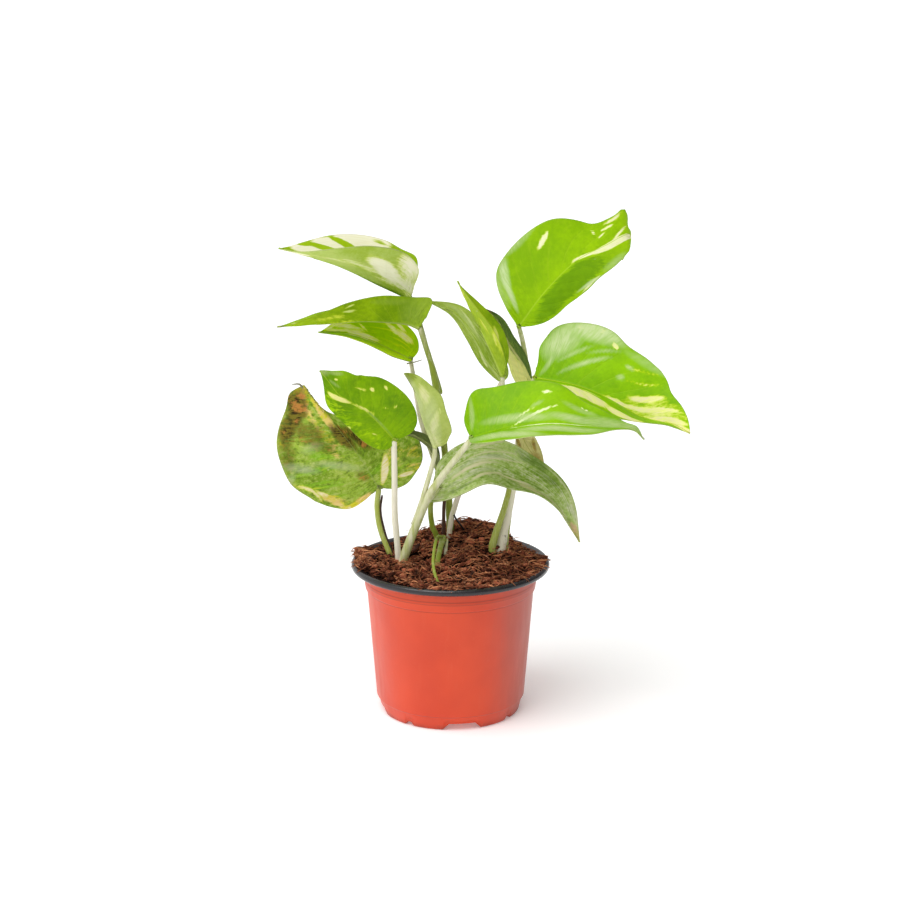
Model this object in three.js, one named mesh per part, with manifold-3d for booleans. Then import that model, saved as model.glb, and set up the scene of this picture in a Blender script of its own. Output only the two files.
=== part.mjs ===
// Pothos in a nursery pot: pot, root ball, three rooted cuttings with their leaf stalks, and the leaf blades.
// Millimetres, +Z up. The origin is the centre of the pot's underside, and the plant's front is towards -Y.
import * as THREE from 'three';
import { mergeVertices } from 'three/addons/utils/BufferGeometryUtils.js';
import Module from 'manifold-3d';

const wasm = await Module();
wasm.setup();

// ---- driving dimensions ------------------------------------------------------------------------

const clearance = 0.3; // between pieces that touch

const pot = {
  rimRadius: 60, // a 12 cm pot, measured over its rolled rim
  rimHeight: 91, // height of the roll's centre
  rollRadius: 2,
  collarTop: 88.2, // the collar stands from here down to the step
  collarRadius: 52.9,
  stepHeight: 76.5, // the step where the plain wall begins
  stepDepth: 1.1,
  wallTopRadius: 50.6,
  footHeight: 8,
  wallFootRadius: 45.2,
  footTopRadius: 43.9,
  footRadius: 42.3,
  wall: 1.2,
  stepRise: 0.8, // height over which the step runs out
  footStepRise: 1,
  footRing: 2.2, // width of the ring that the pot stands on
  floorLift: 4, // the floor stands this far above the table, but for a boss at its centre
  bossRadius: 13,
  bossSlope: 3, // the boss widens by this much up to the floor
  mouthWiden: 1.2, // the mouth is wider than the collar by this much
  innerStep: 0.6, // the step as it shows inside
  footRounding: 0.5,
  segments: 36,
};

const notches = {
  count: 4, // wide notches in the foot, with a small one halfway between each pair
  flare: 0.4, // further width on each side, below the table
  depth: 5, // inwards from the foot's outside
  firstAngle: -80.5, // degrees from +X to the first wide notch
  height: 4,
  wideWidth: 24,
  wideTop: 16,
  smallWidth: 7,
  smallTop: 3,
  smallHeight: 2.4,
};

const drains = { count: 6, radius: 4, ring: 29, sides: 8 };

const soilForm = {
  edgeHeight: 91,
  radius: 53.2, // at the rim, where the pot's mouth flares out
  neckRadius: 51.4, // below the flare
  neckHeight: 88.2,
  rings: 7,
  sectors: 34,
  lump: 1.5, // height of the lumps over the smooth mounds
  stepGap: 0.7, // to the pot's wall at the step
};

// Smooth mounds of the root ball: centre, height and spread.
const mounds = [
  { x: 13, y: 24, rise: 16.5, spread: 25 },
  { x: -40, y: 4, rise: 9, spread: 17 },
  { x: 4, y: -22, rise: 3.5, spread: 20 },
];

// Soil that lies over the rim on the left: centre and half sizes of each heap.
const spills = [
  { centre: [-51, 6, 95], size: [8, 13, 4.2] },
  { centre: [-50, -13, 94], size: [7, 9, 3.4] },
];

const bladeForm = {
  thickness: 0.8,
  rows: 11,
  columns: 3, // in each half
  veinSweep: 2.7, // how far the side veins lean towards the tip
  leastWidth: 0.04, // of the full half width, next to the stalk and the tip
  endShare: 0.4, // of the thickness, at the stalk and at the tip
  foldedAt: 30, // degrees between the halves' folds from which one face lies on the middle surface
};

const stalkForm = {
  sides: 6,
  step: 16, // between rings along the stalk
  topGap: 1, // radius kept free around a blade's stalk end
};

// ---- leaves ------------------------------------------------------------------------------------

// Half a blade's margin, from the stalk round to the tip, with a lobe behind the stalk or without one.
// Each point is a share of the blade's length and of its half width.
const heartMargin = [
  [0, 0], [-0.06, 0.12], [-0.11, 0.38], [-0.07, 0.7], [0.07, 0.93], [0.25, 1],
  [0.45, 0.89], [0.65, 0.64], [0.82, 0.34], [0.93, 0.12], [1, 0],
];
const ovalMargin = [
  [0, 0], [0.01, 0.12], [0.04, 0.38], [0.1, 0.68], [0.19, 0.9], [0.32, 1],
  [0.48, 0.92], [0.66, 0.68], [0.82, 0.37], [0.93, 0.13], [1, 0],
];

// A blade is given by its midrib from stalk to tip and the way its upper face looks. Pairs are for the left
// and the right half: width, fold up from flat in degrees at the stalk and at the tip, further curl out to
// the margin, heart (1 with a full lobe, 0 with none) and full (under 1 for a margin that stays wide).
const blades = {
  blade_top_left: {
    midrib: [[-24, 12, 252], [-41, 9, 260], [-67, 4, 273], [-100, -4, 284]],
    face: [-0.2, 0, 1], width: [26, 28], fold: [85, 70], foldTip: [5, 40], heart: [0.3, 0.3],
    full: [0.7, 1], fullTip: [1.1, 1], colour: 0xb9c95c,
  },
  blade_left_underside: {
    midrib: [[-18, 2, 236], [-28, 1, 239], [-50, -3, 241], [-72, -6, 240], [-101, -12, 239]],
    face: [0, 0, 1], width: [18, 20], fold: [78, 20], foldTip: [35, 20], heart: [0.8, 0],
    full: [0.6, 1], fullTip: [1.1, 1], colour: 0x6f9a1e,
  },
  blade_left_streaked: {
    midrib: [[-24, 16, 214], [-45, 12, 225], [-61, 8, 231], [-78, 2, 233]],
    face: [0, 0, 1], width: [15, 20], fold: [-6, 60], foldTip: [-6, 50], heart: [0.2, 0.6], colour: 0x8cb01a,
  },
  blade_left_round: {
    midrib: [[-33, -24, 174], [-46, -30, 190], [-56, -33, 199], [-64, -34, 205], [-75.5, -30, 217]],
    face: [0, -1, 0.4], width: [14, 23], fold: [5, 5], foldTip: [-20, 0], full: [1, 0.75],
    heart: [0.4, 0.7], colour: 0x6da010,
  },
  blade_old: {
    midrib: [[-43, 0, 138], [-50, -1, 151], [-61, -3, 168], [-76, -3, 187], [-87, 1, 201]],
    face: [0, -1, 0.3], width: [47, 37], fold: [5, 5], foldTip: [0, -70], heart: [0, 1],
    full: [0.85, 0.8], fullTip: [0.45, 5], colour: 0x5e7424,
  },
  blade_pale: {
    midrib: [[-9, -24, 170], [-15, -28, 185], [-21, -28, 204], [-27, -24, 214]],
    face: [0.9, 0.4, 0.3], width: [15, 15], fold: [50, 50], heart: [0.3, 0.3], full: [0.55, 0.55],
    colour: 0xa9bf6c,
  },
  blade_arched: {
    midrib: [[31, 11, 202], [22, 14, 213], [13.5, 14, 228], [2, 13, 242.5], [-15, 9, 251]],
    face: [0.3, 0.9, 0.4], width: [12, 6], fold: [10, 10], heart: [0.3, 0.3], colour: 0x86a83c,
  },
  blade_spike: {
    midrib: [[31, 2, 207], [20, 2, 231], [12, 2, 246], [4, 0, 264]],
    face: [0.85, -0.35, 0.3], width: [8, 16], fold: [80, 20], heart: [0, 0], full: [1, 1.2], colour: 0x93b839,
  },
  blade_thread_tip: {
    midrib: [[49, 24, 196], [43, 26, 209], [35, 28, 221], [28, 30, 235], [16, 30, 244]],
    face: [0.2, 1, 0.3], width: [6, 12], fold: [80, 10], foldTip: [10, 75], heart: [0, 0.3],
    full: [1, 0.8], colour: 0x7d8a4c,
  },
  blade_centre_wide: {
    midrib: [[12, -30, 177], [32, -34, 184], [56, -38, 188], [79, -40, 187], [102, -40, 187], [112, -38, 178]],
    face: [0, 0, 1], width: [28, 24], fold: [52, -5], heart: [0.4, 0.2], full: [0.7, 1], fullTip: [1, 1],
    colour: 0x86bf0a,
  },
  blade_right: {
    midrib: [[50, 14, 203], [73, 8, 200], [92, 2, 194], [112, -4, 184], [131, -10, 180], [141, -16, 176]],
    face: [0, 0, 1], width: [39, 31], fold: [65, 0], foldTip: [65, 8], full: [0.75, 1], heart: [0.4, 0],
    colour: 0x8fc41c,
  },
  blade_upper_right: {
    midrib: [
      [41, 20, 233], [57, 18, 255], [74, 16, 273], [91, 18, 282], [105, 24, 288], [108, 36, 282], [104, 46, 269],
    ],
    face: [0, -1, 0.3], faceTip: [1, 0, 0.3], width: [32, 19], fold: [5, -5], curl: [0, -30], heart: [0, 0],
    full: [0.8, 1.2], fullTip: [1.8, 1.1], colour: 0x86bb0c,
  },
  blade_drooping: {
    midrib: [[-6, -14, 143], [19, -16, 153], [38, -20, 148], [59, -26, 138], [76, -32, 114]],
    face: [0, 0, 1], width: [20.5, 11], fold: [60, -60], foldTip: [60, 40], heart: [0.3, 1], full: [0.8, 1],
    colour: 0x7d9152,
  },
  blade_dark_arched: {
    midrib: [[-7, 2, 149], [-11, 1, 161], [-20, 0, 169], [-31, -2, 173]],
    face: [0.3, 0, 1], width: [7, 11], fold: [20, 20], heart: [0, 0], colour: 0x5c6b40,
  },
  blade_withered: {
    midrib: [[42, 8, 172], [45, 8, 164], [50, 7, 156], [56, 5, 147]],
    face: [0.3, -1, 0.3], width: [7, 7], fold: [25, 25], heart: [0, 0], full: [0.7, 0.7], colour: 0xa58a4a,
  },
};

// ---- stalks ------------------------------------------------------------------------------------

// Each stalk is a route with its radius at the foot and at the top.
const stalks = {
  stalks_left: {
    colour: 0xbcc99a,
    routes: [
      { through: [[-32, -9, 78], [-31, -12, 95], [-33, -16, 126], [-33, -20, 149], [-33, -24, 174]],
        radius: [2, 1.8] },
      { through: [[-33, -9, 78], [-35, -6, 94], [-42, -3, 113], [-44, -1, 126], [-43, 0, 138]],
        radius: [1.9, 1.7] },
      { through: [[-34, -9, 78], [-34, -6, 96], [-39, -4, 110], [-42, -2, 124], [-41, -1, 134]],
        radius: [0.8, 0.7] },
      { through: [[-32, -9, 78], [-29, -12, 95], [-15, -20, 134], [-7, -24, 149], [12, -30, 176]],
        radius: [2.8, 1.6] },
      { through: [[-22, -15, 120], [-17, -18, 135], [-10, -22, 161], [-9, -24, 170]], radius: [1.6, 1.4] },
      { through: [[-18, -17, 129], [-11, -16, 137], [-6, -14, 143]], radius: [1.5, 1.3] },
    ],
  },
  stalks_centre: {
    colour: 0x8c9c3c,
    routes: [
      { through: [[-3, 12, 79], [0, 18, 99], [-1, 16, 126], [-4, 12, 164], [-9, 7, 203], [-18, 2, 236]],
        radius: [2.6, 1.6] },
      { through: [[-17, 3, 231], [-12, 5, 215], [-8, 7, 196]], radius: [0.8, 2.4] },
      { through: [[-24, 12, 252], [-19, 10, 239], [-14, 8, 221], [-10, 9, 208], [-6, 10, 194]],
        radius: [1.5, 1.8] },
      { through: [[-24, 16, 214], [-22, 17, 201], [-18, 18, 176], [-11, 18, 154], [-4, 16, 135]],
        radius: [1.3, 1.8] },
      { through: [[-4, 12, 79], [-8, 8, 104], [-11, 6, 113], [-12, 3, 125], [-10, 2, 137], [-7, 2, 149]],
        radius: [2, 1.4] },
      { through: [[-3, 12, 79], [0, 10, 112], [3, 9, 125], [7, 8, 138], [17, 9, 172], [31, 11, 202]],
        radius: [1.8, 1.4] },
      { through: [[-3, 12, 79], [-4, 12, 105], [-4, 12, 122], [-3, 12, 134]], radius: [1.4, 1] },
    ],
  },
  stalks_right: {
    colour: 0xc9cda0,
    routes: [
      { through: [[29, 2, 78], [29.5, 2, 97], [35, 5, 126], [40, 10, 153], [45, 16, 183], [47, 20, 197]],
        radius: [3.6, 2.6] },
      { through: [[46, 16, 173], [48, 22, 187], [49, 24, 196]], radius: [1.6, 1.3] },
      { through: [[46, 16, 181], [47, 26, 191], [46.5, 34.5, 204], [44, 31, 220], [41, 20, 233]],
        radius: [1.8, 1.4] },
      { through: [[44, 12, 165], [49, 14, 189], [50, 14, 203]], radius: [2, 1.5] },
      { through: [[37, 7, 135], [33, 7, 150], [30, 5, 172], [31, 3, 190], [31, 2, 207]], radius: [2, 1.3] },
      { through: [[27, -1, 78], [25, -2, 98], [27, -2, 109], [32, 0, 124], [36, 5, 138]],
        radius: [2.8, 1.6] },
      { through: [[33, 2, 78], [34, 2, 96], [34, 3, 104], [37, 6, 128]], radius: [1.4, 1.2] },
      { through: [[41, 10, 158], [42, 9, 166], [42, 8, 172]], radius: [1.6, 1.3] },
    ],
  },
  shoots: {
    colour: 0x93a03a,
    routes: [
      { through: [[-9, -22, 84], [-8, -20, 96], [-6, -8, 103], [-4, 2, 107]], radius: [1.6, 2.2] },
      { through: [[-3, -8, 88], [-3, -6, 98], [-2, 1, 106]], radius: [1.5, 0.9] },
      { through: [[-4, 2, 107], [-8, -10, 110], [-10, -26, 104], [-10, -34, 99], [-8, -42, 94], [-4, -49, 88]],
        radius: [1, 1] },
    ],
  },
  root_dark: {
    colour: 0x3a2c28,
    routes: [
      { through: [[2, 8, 119], [4, 10, 115], [8, 14, 108], [12, 16, 98]], radius: [0.6, 0.7] },
    ],
  },
};

// ---- solids ------------------------------------------------------------------------------------

const radians = THREE.MathUtils.degToRad;
const roughness = { pot: 0.4, blade: 0.35, stalk: 0.5, soil: 0.95 };

function toSolid(geometry) {
  geometry.deleteAttribute('normal');
  geometry.deleteAttribute('uv');
  const merged = mergeVertices(geometry, 1e-4);
  const vertProperties = new Float32Array(merged.attributes.position.array);
  const triVerts = new Uint32Array(merged.index.array);
  return new wasm.Manifold(new wasm.Mesh({ numProp: 3, vertProperties, triVerts }));
}

function toGeometry(solid) {
  const mesh = solid.getMesh();
  const geometry = new THREE.BufferGeometry();
  geometry.setAttribute('position', new THREE.BufferAttribute(new Float32Array(mesh.vertProperties), 3));
  geometry.setIndex(new THREE.BufferAttribute(new Uint32Array(mesh.triVerts), 1));
  return geometry;
}

function largestBody(solid) {
  return solid.decompose().reduce((most, body) => (body.volume() > most.volume() ? body : most));
}

function indexedGeometry(points, faces) {
  const geometry = new THREE.BufferGeometry();
  geometry.setAttribute('position', new THREE.Float32BufferAttribute(points.flatMap((p) => p.toArray()), 3));
  geometry.setIndex(faces.flat());
  return geometry;
}

// ---- blade -------------------------------------------------------------------------------------

const planeCurve = (shares) => new THREE.SplineCurve(shares.map((share) => new THREE.Vector2(...share)));
const margins = { heart: planeCurve(heartMargin), oval: planeCurve(ovalMargin) };

function curveThrough(points) {
  return new THREE.CatmullRomCurve3(points.map((p) => new THREE.Vector3(...p)), false, 'catmullrom', 0.5);
}

// The midrib's point, direction and upward normal at a share of its length, straight on behind the stalk.
function ribFrame(rib, spec, share) {
  const held = THREE.MathUtils.clamp(share, 0, 1);
  const forward = rib.getTangentAt(held);
  const point = rib.getPointAt(held).addScaledVector(forward, (share - held) * rib.getLength());
  const face = new THREE.Vector3(...spec.face).lerp(new THREE.Vector3(...(spec.faceTip ?? spec.face)), held ** 3);
  const normal = face.addScaledVector(forward, -face.dot(forward)).normalize();
  return { point, forward, normal, left: normal.clone().cross(forward) };
}

// A value of one half, which may change from the stalk to the tip.
function along(spec, key, side, share, otherwise = 0) {
  const start = (spec[key] ?? [otherwise, otherwise])[side];
  const end = (spec[`${key}Tip`] ?? spec[key] ?? [otherwise, otherwise])[side];
  return THREE.MathUtils.lerp(start, end, THREE.MathUtils.clamp(share, 0, 1));
}

// Middle surface: row runs from the stalk round to the tip, across from -1 (right margin) to 1 (left margin).
function bladePoint(rib, spec, row, across) {
  const out = Math.abs(across);
  const side = across > 0 ? 0 : 1;
  const edge = margins.oval.getPoint(row).lerp(margins.heart.getPoint(row), along(spec, 'heart', side, 0, 1));
  const share = THREE.MathUtils.lerp(row ** bladeForm.veinSweep, edge.x, out);
  const frame = ribFrame(rib, spec, share);
  const width = spec.width[side];
  const spread = Math.max(Math.max(edge.y, 0) ** along(spec, 'full', side, row, 1), bladeForm.leastWidth);
  const reach = spread * out * width;
  const fold = radians(along(spec, 'fold', side, share));
  const bend = radians(along(spec, 'curl', side, share)) / width || 1e-6;
  const level = (Math.sin(fold + bend * reach) - Math.sin(fold)) / bend;
  const rise = (Math.cos(fold) - Math.cos(fold + bend * reach)) / bend;
  return frame.point
    .addScaledVector(frame.left, Math.sign(across) * level)
    .addScaledVector(frame.normal, rise);
}

function bladeNormal(rib, spec, row, across) {
  const step = 0.02;
  const r = THREE.MathUtils.clamp(row, 2 * step, 1 - 2 * step);
  const a = THREE.MathUtils.clamp(across, step - 1, 1 - step);
  const alongRow = bladePoint(rib, spec, r + step, a).sub(bladePoint(rib, spec, r - step, a));
  const acrossRow = bladePoint(rib, spec, r, a + step).sub(bladePoint(rib, spec, r, a - step));
  return acrossRow.cross(alongRow).normalize();
}

// 1 where the halves fold up and -1 where they fold down, so that the blade's thickness lies outside the fold.
function inside(spec, row) {
  const share = row ** bladeForm.veinSweep;
  const folds = along(spec, 'fold', 0, share) + along(spec, 'fold', 1, share);
  return THREE.MathUtils.clamp(folds / bladeForm.foldedAt, -1, 1);
}

// The two faces' points at one place of the middle surface, thinner at the stalk and the tip.
function facePoints(rib, spec, row, across, grow) {
  const isEnd = row === 0 || row === 1;
  const half = (bladeForm.thickness * (isEnd ? bladeForm.endShare : 1)) / 2;
  const shift = half * inside(spec, row);
  const point = bladePoint(rib, spec, row, across);
  const normal = bladeNormal(rib, spec, row, across);
  return [shift + half + grow, shift - half - grow].map((away) => point.clone().addScaledVector(normal, away));
}

function bladeSolid(spec, grow = 0) {
  const { rows, columns } = bladeForm;
  const rib = curveThrough(spec.midrib);
  const points = [];
  const add = (row, across) => points.push(...facePoints(rib, spec, row, across, grow)) - 2;
  const grid = [];
  for (let i = 0; i <= rows; i++) {
    const shared = i === 0 || i === rows ? add(i / rows, 0) : -1;
    grid.push([]);
    for (let j = -columns; j <= columns; j++) grid[i].push(shared < 0 ? add(i / rows, j / columns) : shared);
  }
  return outward(indexedGeometry(points, bladeFaces(grid)));
}

// Both faces are split alike. An even number is on the lower face, and the next one is above it.
function bladeFaces(grid) {
  const { rows, columns } = bladeForm;
  const faces = [];
  const triangle = (a, b, c) => {
    if (a !== b && b !== c && c !== a) faces.push([a, b, c]);
  };
  for (let i = 0; i < rows; i++) {
    for (let j = 0; j < 2 * columns; j++) {
      const [a, b, c, d] = [grid[i][j], grid[i][j + 1], grid[i + 1][j + 1], grid[i + 1][j]];
      const halves = j < columns ? [[a, b, c], [a, c, d]] : [[a, b, d], [b, c, d]];
      for (const [p, q, r] of halves) {
        triangle(p, q, r);
        triangle(p + 1, r + 1, q + 1);
      }
    }
    for (const [from, to] of [[grid[i + 1][0], grid[i][0]], [grid[i][2 * columns], grid[i + 1][2 * columns]]]) {
      triangle(from, to + 1, to);
      triangle(from, from + 1, to + 1);
    }
  }
  return faces;
}

// A solid from a closed surface, which is turned first where its faces point inwards.
function outward(geometry) {
  const p = geometry.attributes.position;
  const index = geometry.index.array;
  const [a, b, c] = [new THREE.Vector3(), new THREE.Vector3(), new THREE.Vector3()];
  let volume = 0;
  for (let k = 0; k < index.length; k += 3) {
    a.fromBufferAttribute(p, index[k]);
    b.fromBufferAttribute(p, index[k + 1]);
    c.fromBufferAttribute(p, index[k + 2]);
    volume += a.dot(b.cross(c));
  }
  if (volume < 0) {
    for (let k = 0; k < index.length; k += 3) [index[k], index[k + 1]] = [index[k + 1], index[k]];
  }
  return toSolid(geometry);
}

// ---- stalk -------------------------------------------------------------------------------------

function tubeSolid(route, grow = 0) {
  const curve = curveThrough(route.through);
  const steps = Math.max(3, Math.round(curve.getLength() / stalkForm.step));
  const frames = curve.computeFrenetFrames(steps, false);
  const sides = stalkForm.sides;
  const points = [];
  const faces = [];
  for (let i = 0; i <= steps; i++) {
    const radius = THREE.MathUtils.lerp(route.radius[0], route.radius[1], i / steps) + grow;
    const centre = curve.getPointAt(i / steps);
    for (let j = 0; j < sides; j++) {
      const angle = (j / sides) * 2 * Math.PI;
      points.push(centre.clone()
        .addScaledVector(frames.normals[i], Math.cos(angle) * radius)
        .addScaledVector(frames.binormals[i], Math.sin(angle) * radius));
    }
  }
  for (let i = 0; i < steps; i++) {
    for (let j = 0; j < sides; j++) {
      const [a, b] = [i * sides + j, i * sides + ((j + 1) % sides)];
      faces.push([a, b, b + sides], [a, b + sides, a + sides]);
    }
  }
  const last = steps * sides;
  for (let j = 1; j < sides - 1; j++) faces.push([0, j + 1, j], [last, last + j, last + j + 1]);
  return outward(indexedGeometry(points, faces));
}

// ---- pot and soil ------------------------------------------------------------------------------

function potProfile() {
  const { wall, floorLift, bossRadius, bossSlope, footRing, footRadius, footTopRadius, footHeight } = pot;
  const { wallTopRadius, stepHeight, stepRise, collarRadius, collarTop, rimRadius, rimHeight, rollRadius } = pot;
  const rollCentre = rimRadius - rollRadius;
  const slope = footRing - wall; // of the foot's inner side
  const profile = [
    [0, 0], [bossRadius, 0], [bossRadius + bossSlope, floorLift],
    [footRadius - footRing - slope, floorLift], [footRadius - footRing, 0],
    [footRadius, 0], [footTopRadius, footHeight], [pot.wallFootRadius, footHeight + pot.footStepRise],
    [wallTopRadius, stepHeight], [wallTopRadius + pot.stepDepth, stepHeight + stepRise], [collarRadius, collarTop],
  ];
  for (let degrees = -90; degrees <= 90; degrees += 45) {
    const angle = radians(degrees);
    profile.push([rollCentre + rollRadius * Math.cos(angle), rimHeight + rollRadius * Math.sin(angle)]);
  }
  const floorTop = floorLift + wall;
  profile.push(
    [mouthRadius(), rimHeight], [collarRadius - wall, collarTop],
    [wallTopRadius - wall + pot.innerStep, stepHeight], [footTopRadius - wall - pot.footRounding, floorTop],
    [bossRadius + bossSlope - wall, floorTop], [bossRadius - wall, wall], [0, wall],
  );
  return profile.map(([radius, height]) => new THREE.Vector2(radius, height));
}

const mouthRadius = () => pot.collarRadius + pot.mouthWiden;

// A wedge that runs out through the foot, wide at the table and narrower above.
function notchCutter(angle, width, top, height) {
  const reach = notches.depth + pot.footTopRadius - pot.footRadius + 1;
  const outline = new THREE.Shape([
    new THREE.Vector2(-width / 2 - notches.flare, -1), new THREE.Vector2(width / 2 + notches.flare, -1),
    new THREE.Vector2(top / 2, height), new THREE.Vector2(-top / 2, height),
  ]);
  const geometry = new THREE.ExtrudeGeometry(outline, { depth: reach + notches.depth, bevelEnabled: false });
  geometry.rotateX(Math.PI / 2);
  geometry.translate(0, -(pot.footRadius - notches.depth), 0);
  geometry.rotateZ(angle + Math.PI / 2);
  return toSolid(geometry);
}

function potSolid() {
  let solid = toSolid(new THREE.LatheGeometry(potProfile(), pot.segments).rotateX(Math.PI / 2));
  for (let i = 0; i < notches.count; i++) {
    const wide = radians(notches.firstAngle + (i * 360) / notches.count);
    const small = wide + Math.PI / notches.count;
    solid = solid.subtract(notchCutter(wide, notches.wideWidth, notches.wideTop, notches.height));
    solid = solid.subtract(notchCutter(small, notches.smallWidth, notches.smallTop, notches.smallHeight));
  }
  for (let i = 0; i < drains.count; i++) {
    const angle = radians(notches.firstAngle) + ((i + 0.5) * 2 * Math.PI) / drains.count;
    const hole = new THREE.CylinderGeometry(drains.radius, drains.radius, 3 * pot.wall, drains.sides);
    hole.rotateX(Math.PI / 2);
    hole.translate(drains.ring * Math.cos(angle), drains.ring * Math.sin(angle), pot.floorLift + pot.wall / 2);
    solid = solid.subtract(toSolid(hole));
  }
  return solid;
}

function soilHeight(x, y) {
  let height = soilForm.edgeHeight;
  for (const mound of mounds) {
    const away = ((x - mound.x) ** 2 + (y - mound.y) ** 2) / (2 * mound.spread ** 2);
    height += mound.rise * Math.exp(-away);
  }
  const lumps = Math.sin(0.62 * x + 1.3) * Math.cos(0.55 * y) + 0.7 * Math.sin(0.41 * x - 0.83 * y + 2);
  const inner = 1 - (Math.hypot(x, y) / soilForm.radius) ** 6;
  return height + soilForm.lump * lumps * inner;
}

function soilSolid() {
  const { rings, sectors, radius } = soilForm;
  const floorHeight = pot.floorLift + pot.wall + clearance;
  const footRadius = pot.footTopRadius - pot.wall - pot.footRounding - clearance;
  const points = [new THREE.Vector3(0, 0, soilHeight(0, 0))];
  const faces = [];
  const ring = (ringRadius, heightAt) => {
    for (let j = 0; j < sectors; j++) {
      const angle = (j / sectors) * 2 * Math.PI;
      const [x, y] = [ringRadius * Math.cos(angle), ringRadius * Math.sin(angle)];
      points.push(new THREE.Vector3(x, y, heightAt(x, y)));
    }
  };
  for (let i = 1; i <= rings; i++) ring((radius * i) / rings, soilHeight);
  ring(soilForm.neckRadius, () => soilForm.neckHeight);
  ring(pot.wallTopRadius - pot.wall + pot.innerStep - soilForm.stepGap, () => pot.stepHeight);
  ring(footRadius, () => floorHeight);
  points.push(new THREE.Vector3(0, 0, floorHeight));
  for (let j = 0; j < sectors; j++) {
    const next = (j + 1) % sectors;
    faces.push([0, 1 + j, 1 + next]);
    for (let i = 0; i < rings + 2; i++) {
      const [a, b] = [1 + i * sectors + j, 1 + i * sectors + next];
      faces.push([a, a + sectors, b + sectors], [a, b + sectors, b]);
    }
    const lastRing = 1 + (rings + 2) * sectors;
    faces.push([points.length - 1, lastRing + next, lastRing + j]);
  }
  const heaps = spills.map(({ centre, size }) => {
    const heap = new THREE.IcosahedronGeometry(1, 1);
    heap.scale(...size);
    return toSolid(heap.translate(...centre));
  });
  return wasm.Manifold.union([outward(indexedGeometry(points, faces)), ...heaps]).subtract(rimCutter());
}

// The room that the pot's rim needs under the soil that lies over it.
function rimCutter() {
  const top = pot.rimHeight + pot.rollRadius + clearance;
  const inner = mouthRadius() - clearance;
  const outer = pot.rimRadius + 5 * pot.rollRadius;
  const profile = [[inner, pot.stepHeight], [outer, pot.stepHeight], [outer, top], [inner, top], [inner, pot.stepHeight]];
  const points = profile.map(([radius, height]) => new THREE.Vector2(radius, height));
  return toSolid(new THREE.LatheGeometry(points, pot.segments).rotateX(Math.PI / 2));
}

// ---- assembly ----------------------------------------------------------------------------------

const plant = new THREE.Group();

function addNode(name, solid, colour, rough) {
  const material = new THREE.MeshStandardMaterial({ color: colour, roughness: rough, metalness: 0 });
  const mesh = new THREE.Mesh(toGeometry(solid), material);
  mesh.name = name;
  plant.add(mesh);
}

addNode('pot', potSolid(), 0xd9593b, roughness.pot);

for (const [name, spec] of Object.entries(blades)) {
  addNode(name, bladeSolid(spec), spec.colour, roughness.blade);
}

const grownBlades = Object.values(blades).map((spec) => {
  const stalkEnd = toSolid(new THREE.IcosahedronGeometry(stalkForm.topGap, 1).translate(...spec.midrib[0]));
  return bladeSolid(spec, clearance).add(stalkEnd);
});
const grownStalks = [];
for (const [name, cutting] of Object.entries(stalks)) {
  const whole = wasm.Manifold.union(cutting.routes.map((route) => tubeSolid(route)));
  const cut = largestBody(wasm.Manifold.difference([whole, ...grownBlades, ...grownStalks]));
  addNode(name, cut, cutting.colour, roughness.stalk);
  grownStalks.push(...cutting.routes.map((route) => tubeSolid(route, clearance)));
}

const rootBall = largestBody(wasm.Manifold.difference([soilSolid(), ...grownStalks]));
addNode('soil', rootBall, 0x6b3f2a, roughness.soil);

export default plant;
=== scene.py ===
import math
import random

import bmesh
import bpy
from mathutils import Matrix, Vector, noise


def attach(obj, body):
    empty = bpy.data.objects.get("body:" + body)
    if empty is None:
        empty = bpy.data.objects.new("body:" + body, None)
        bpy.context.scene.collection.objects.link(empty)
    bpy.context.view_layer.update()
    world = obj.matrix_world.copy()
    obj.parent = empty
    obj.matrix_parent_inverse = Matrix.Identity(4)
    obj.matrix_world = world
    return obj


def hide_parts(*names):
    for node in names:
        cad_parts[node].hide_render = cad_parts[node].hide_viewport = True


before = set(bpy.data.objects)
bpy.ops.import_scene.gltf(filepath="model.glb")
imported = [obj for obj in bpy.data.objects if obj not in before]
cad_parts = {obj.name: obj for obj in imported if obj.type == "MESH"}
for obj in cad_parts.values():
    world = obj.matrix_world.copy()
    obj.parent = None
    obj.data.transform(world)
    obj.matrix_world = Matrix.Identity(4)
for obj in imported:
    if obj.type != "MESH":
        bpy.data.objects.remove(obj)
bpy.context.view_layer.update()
mm = 0.001
rng = random.Random(7)
print("frame loaded")

building = {}  # the node tree that new nodes go into


def feed(socket, value):
    if isinstance(value, bpy.types.NodeSocket):
        building["tree"].links.new(value, socket)
    else:
        socket.default_value = value


def newNode(kind, values=None, out=0, **settings):  # values by socket name or number; gives one output
    made = building["tree"].nodes.new("ShaderNode" + kind)
    for key, value in settings.items():
        setattr(made, key, value)
    for key, value in (values or {}).items():
        feed(made.inputs[key], value)
    return made.outputs[out]


def calc(operation, first, second=0):
    return newNode("Math", {0: first, 1: second}, operation=operation)


def times(first, second):
    return calc("MULTIPLY", first, second)


def ramped(value, low, high, start=0, end=1):  # smooth step between low and high
    return newNode("MapRange", dict(enumerate((value, low, high, start, end))), interpolation_type="SMOOTHSTEP")


def mixed(amount, first, second):
    return newNode("Mix", {0: amount, 6: first, 7: second}, 2, data_type="RGBA")


def painted(colour, amount, tone):  # a colour of 0 to 255 laid over the one so far
    return mixed(amount, colour, tint(tone))


def swayed(value, *noises):  # value with noises of mean one half added, each by its amount
    for by, amount in noises:
        value = calc("ADD", value, times(calc("SUBTRACT", by, 0.5), amount))
    return value


def noiseOf(vector, scale, detail=2, rough=0.5):
    return newNode("TexNoise", {"Vector": vector, "Scale": scale, "Detail": detail, "Roughness": rough})


def stretched(vector, scale):
    return newNode("Mapping", {"Vector": vector, "Scale": scale})


def attributeOf(name):
    return newNode("Attribute", None, "Fac", attribute_name=name)


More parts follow.
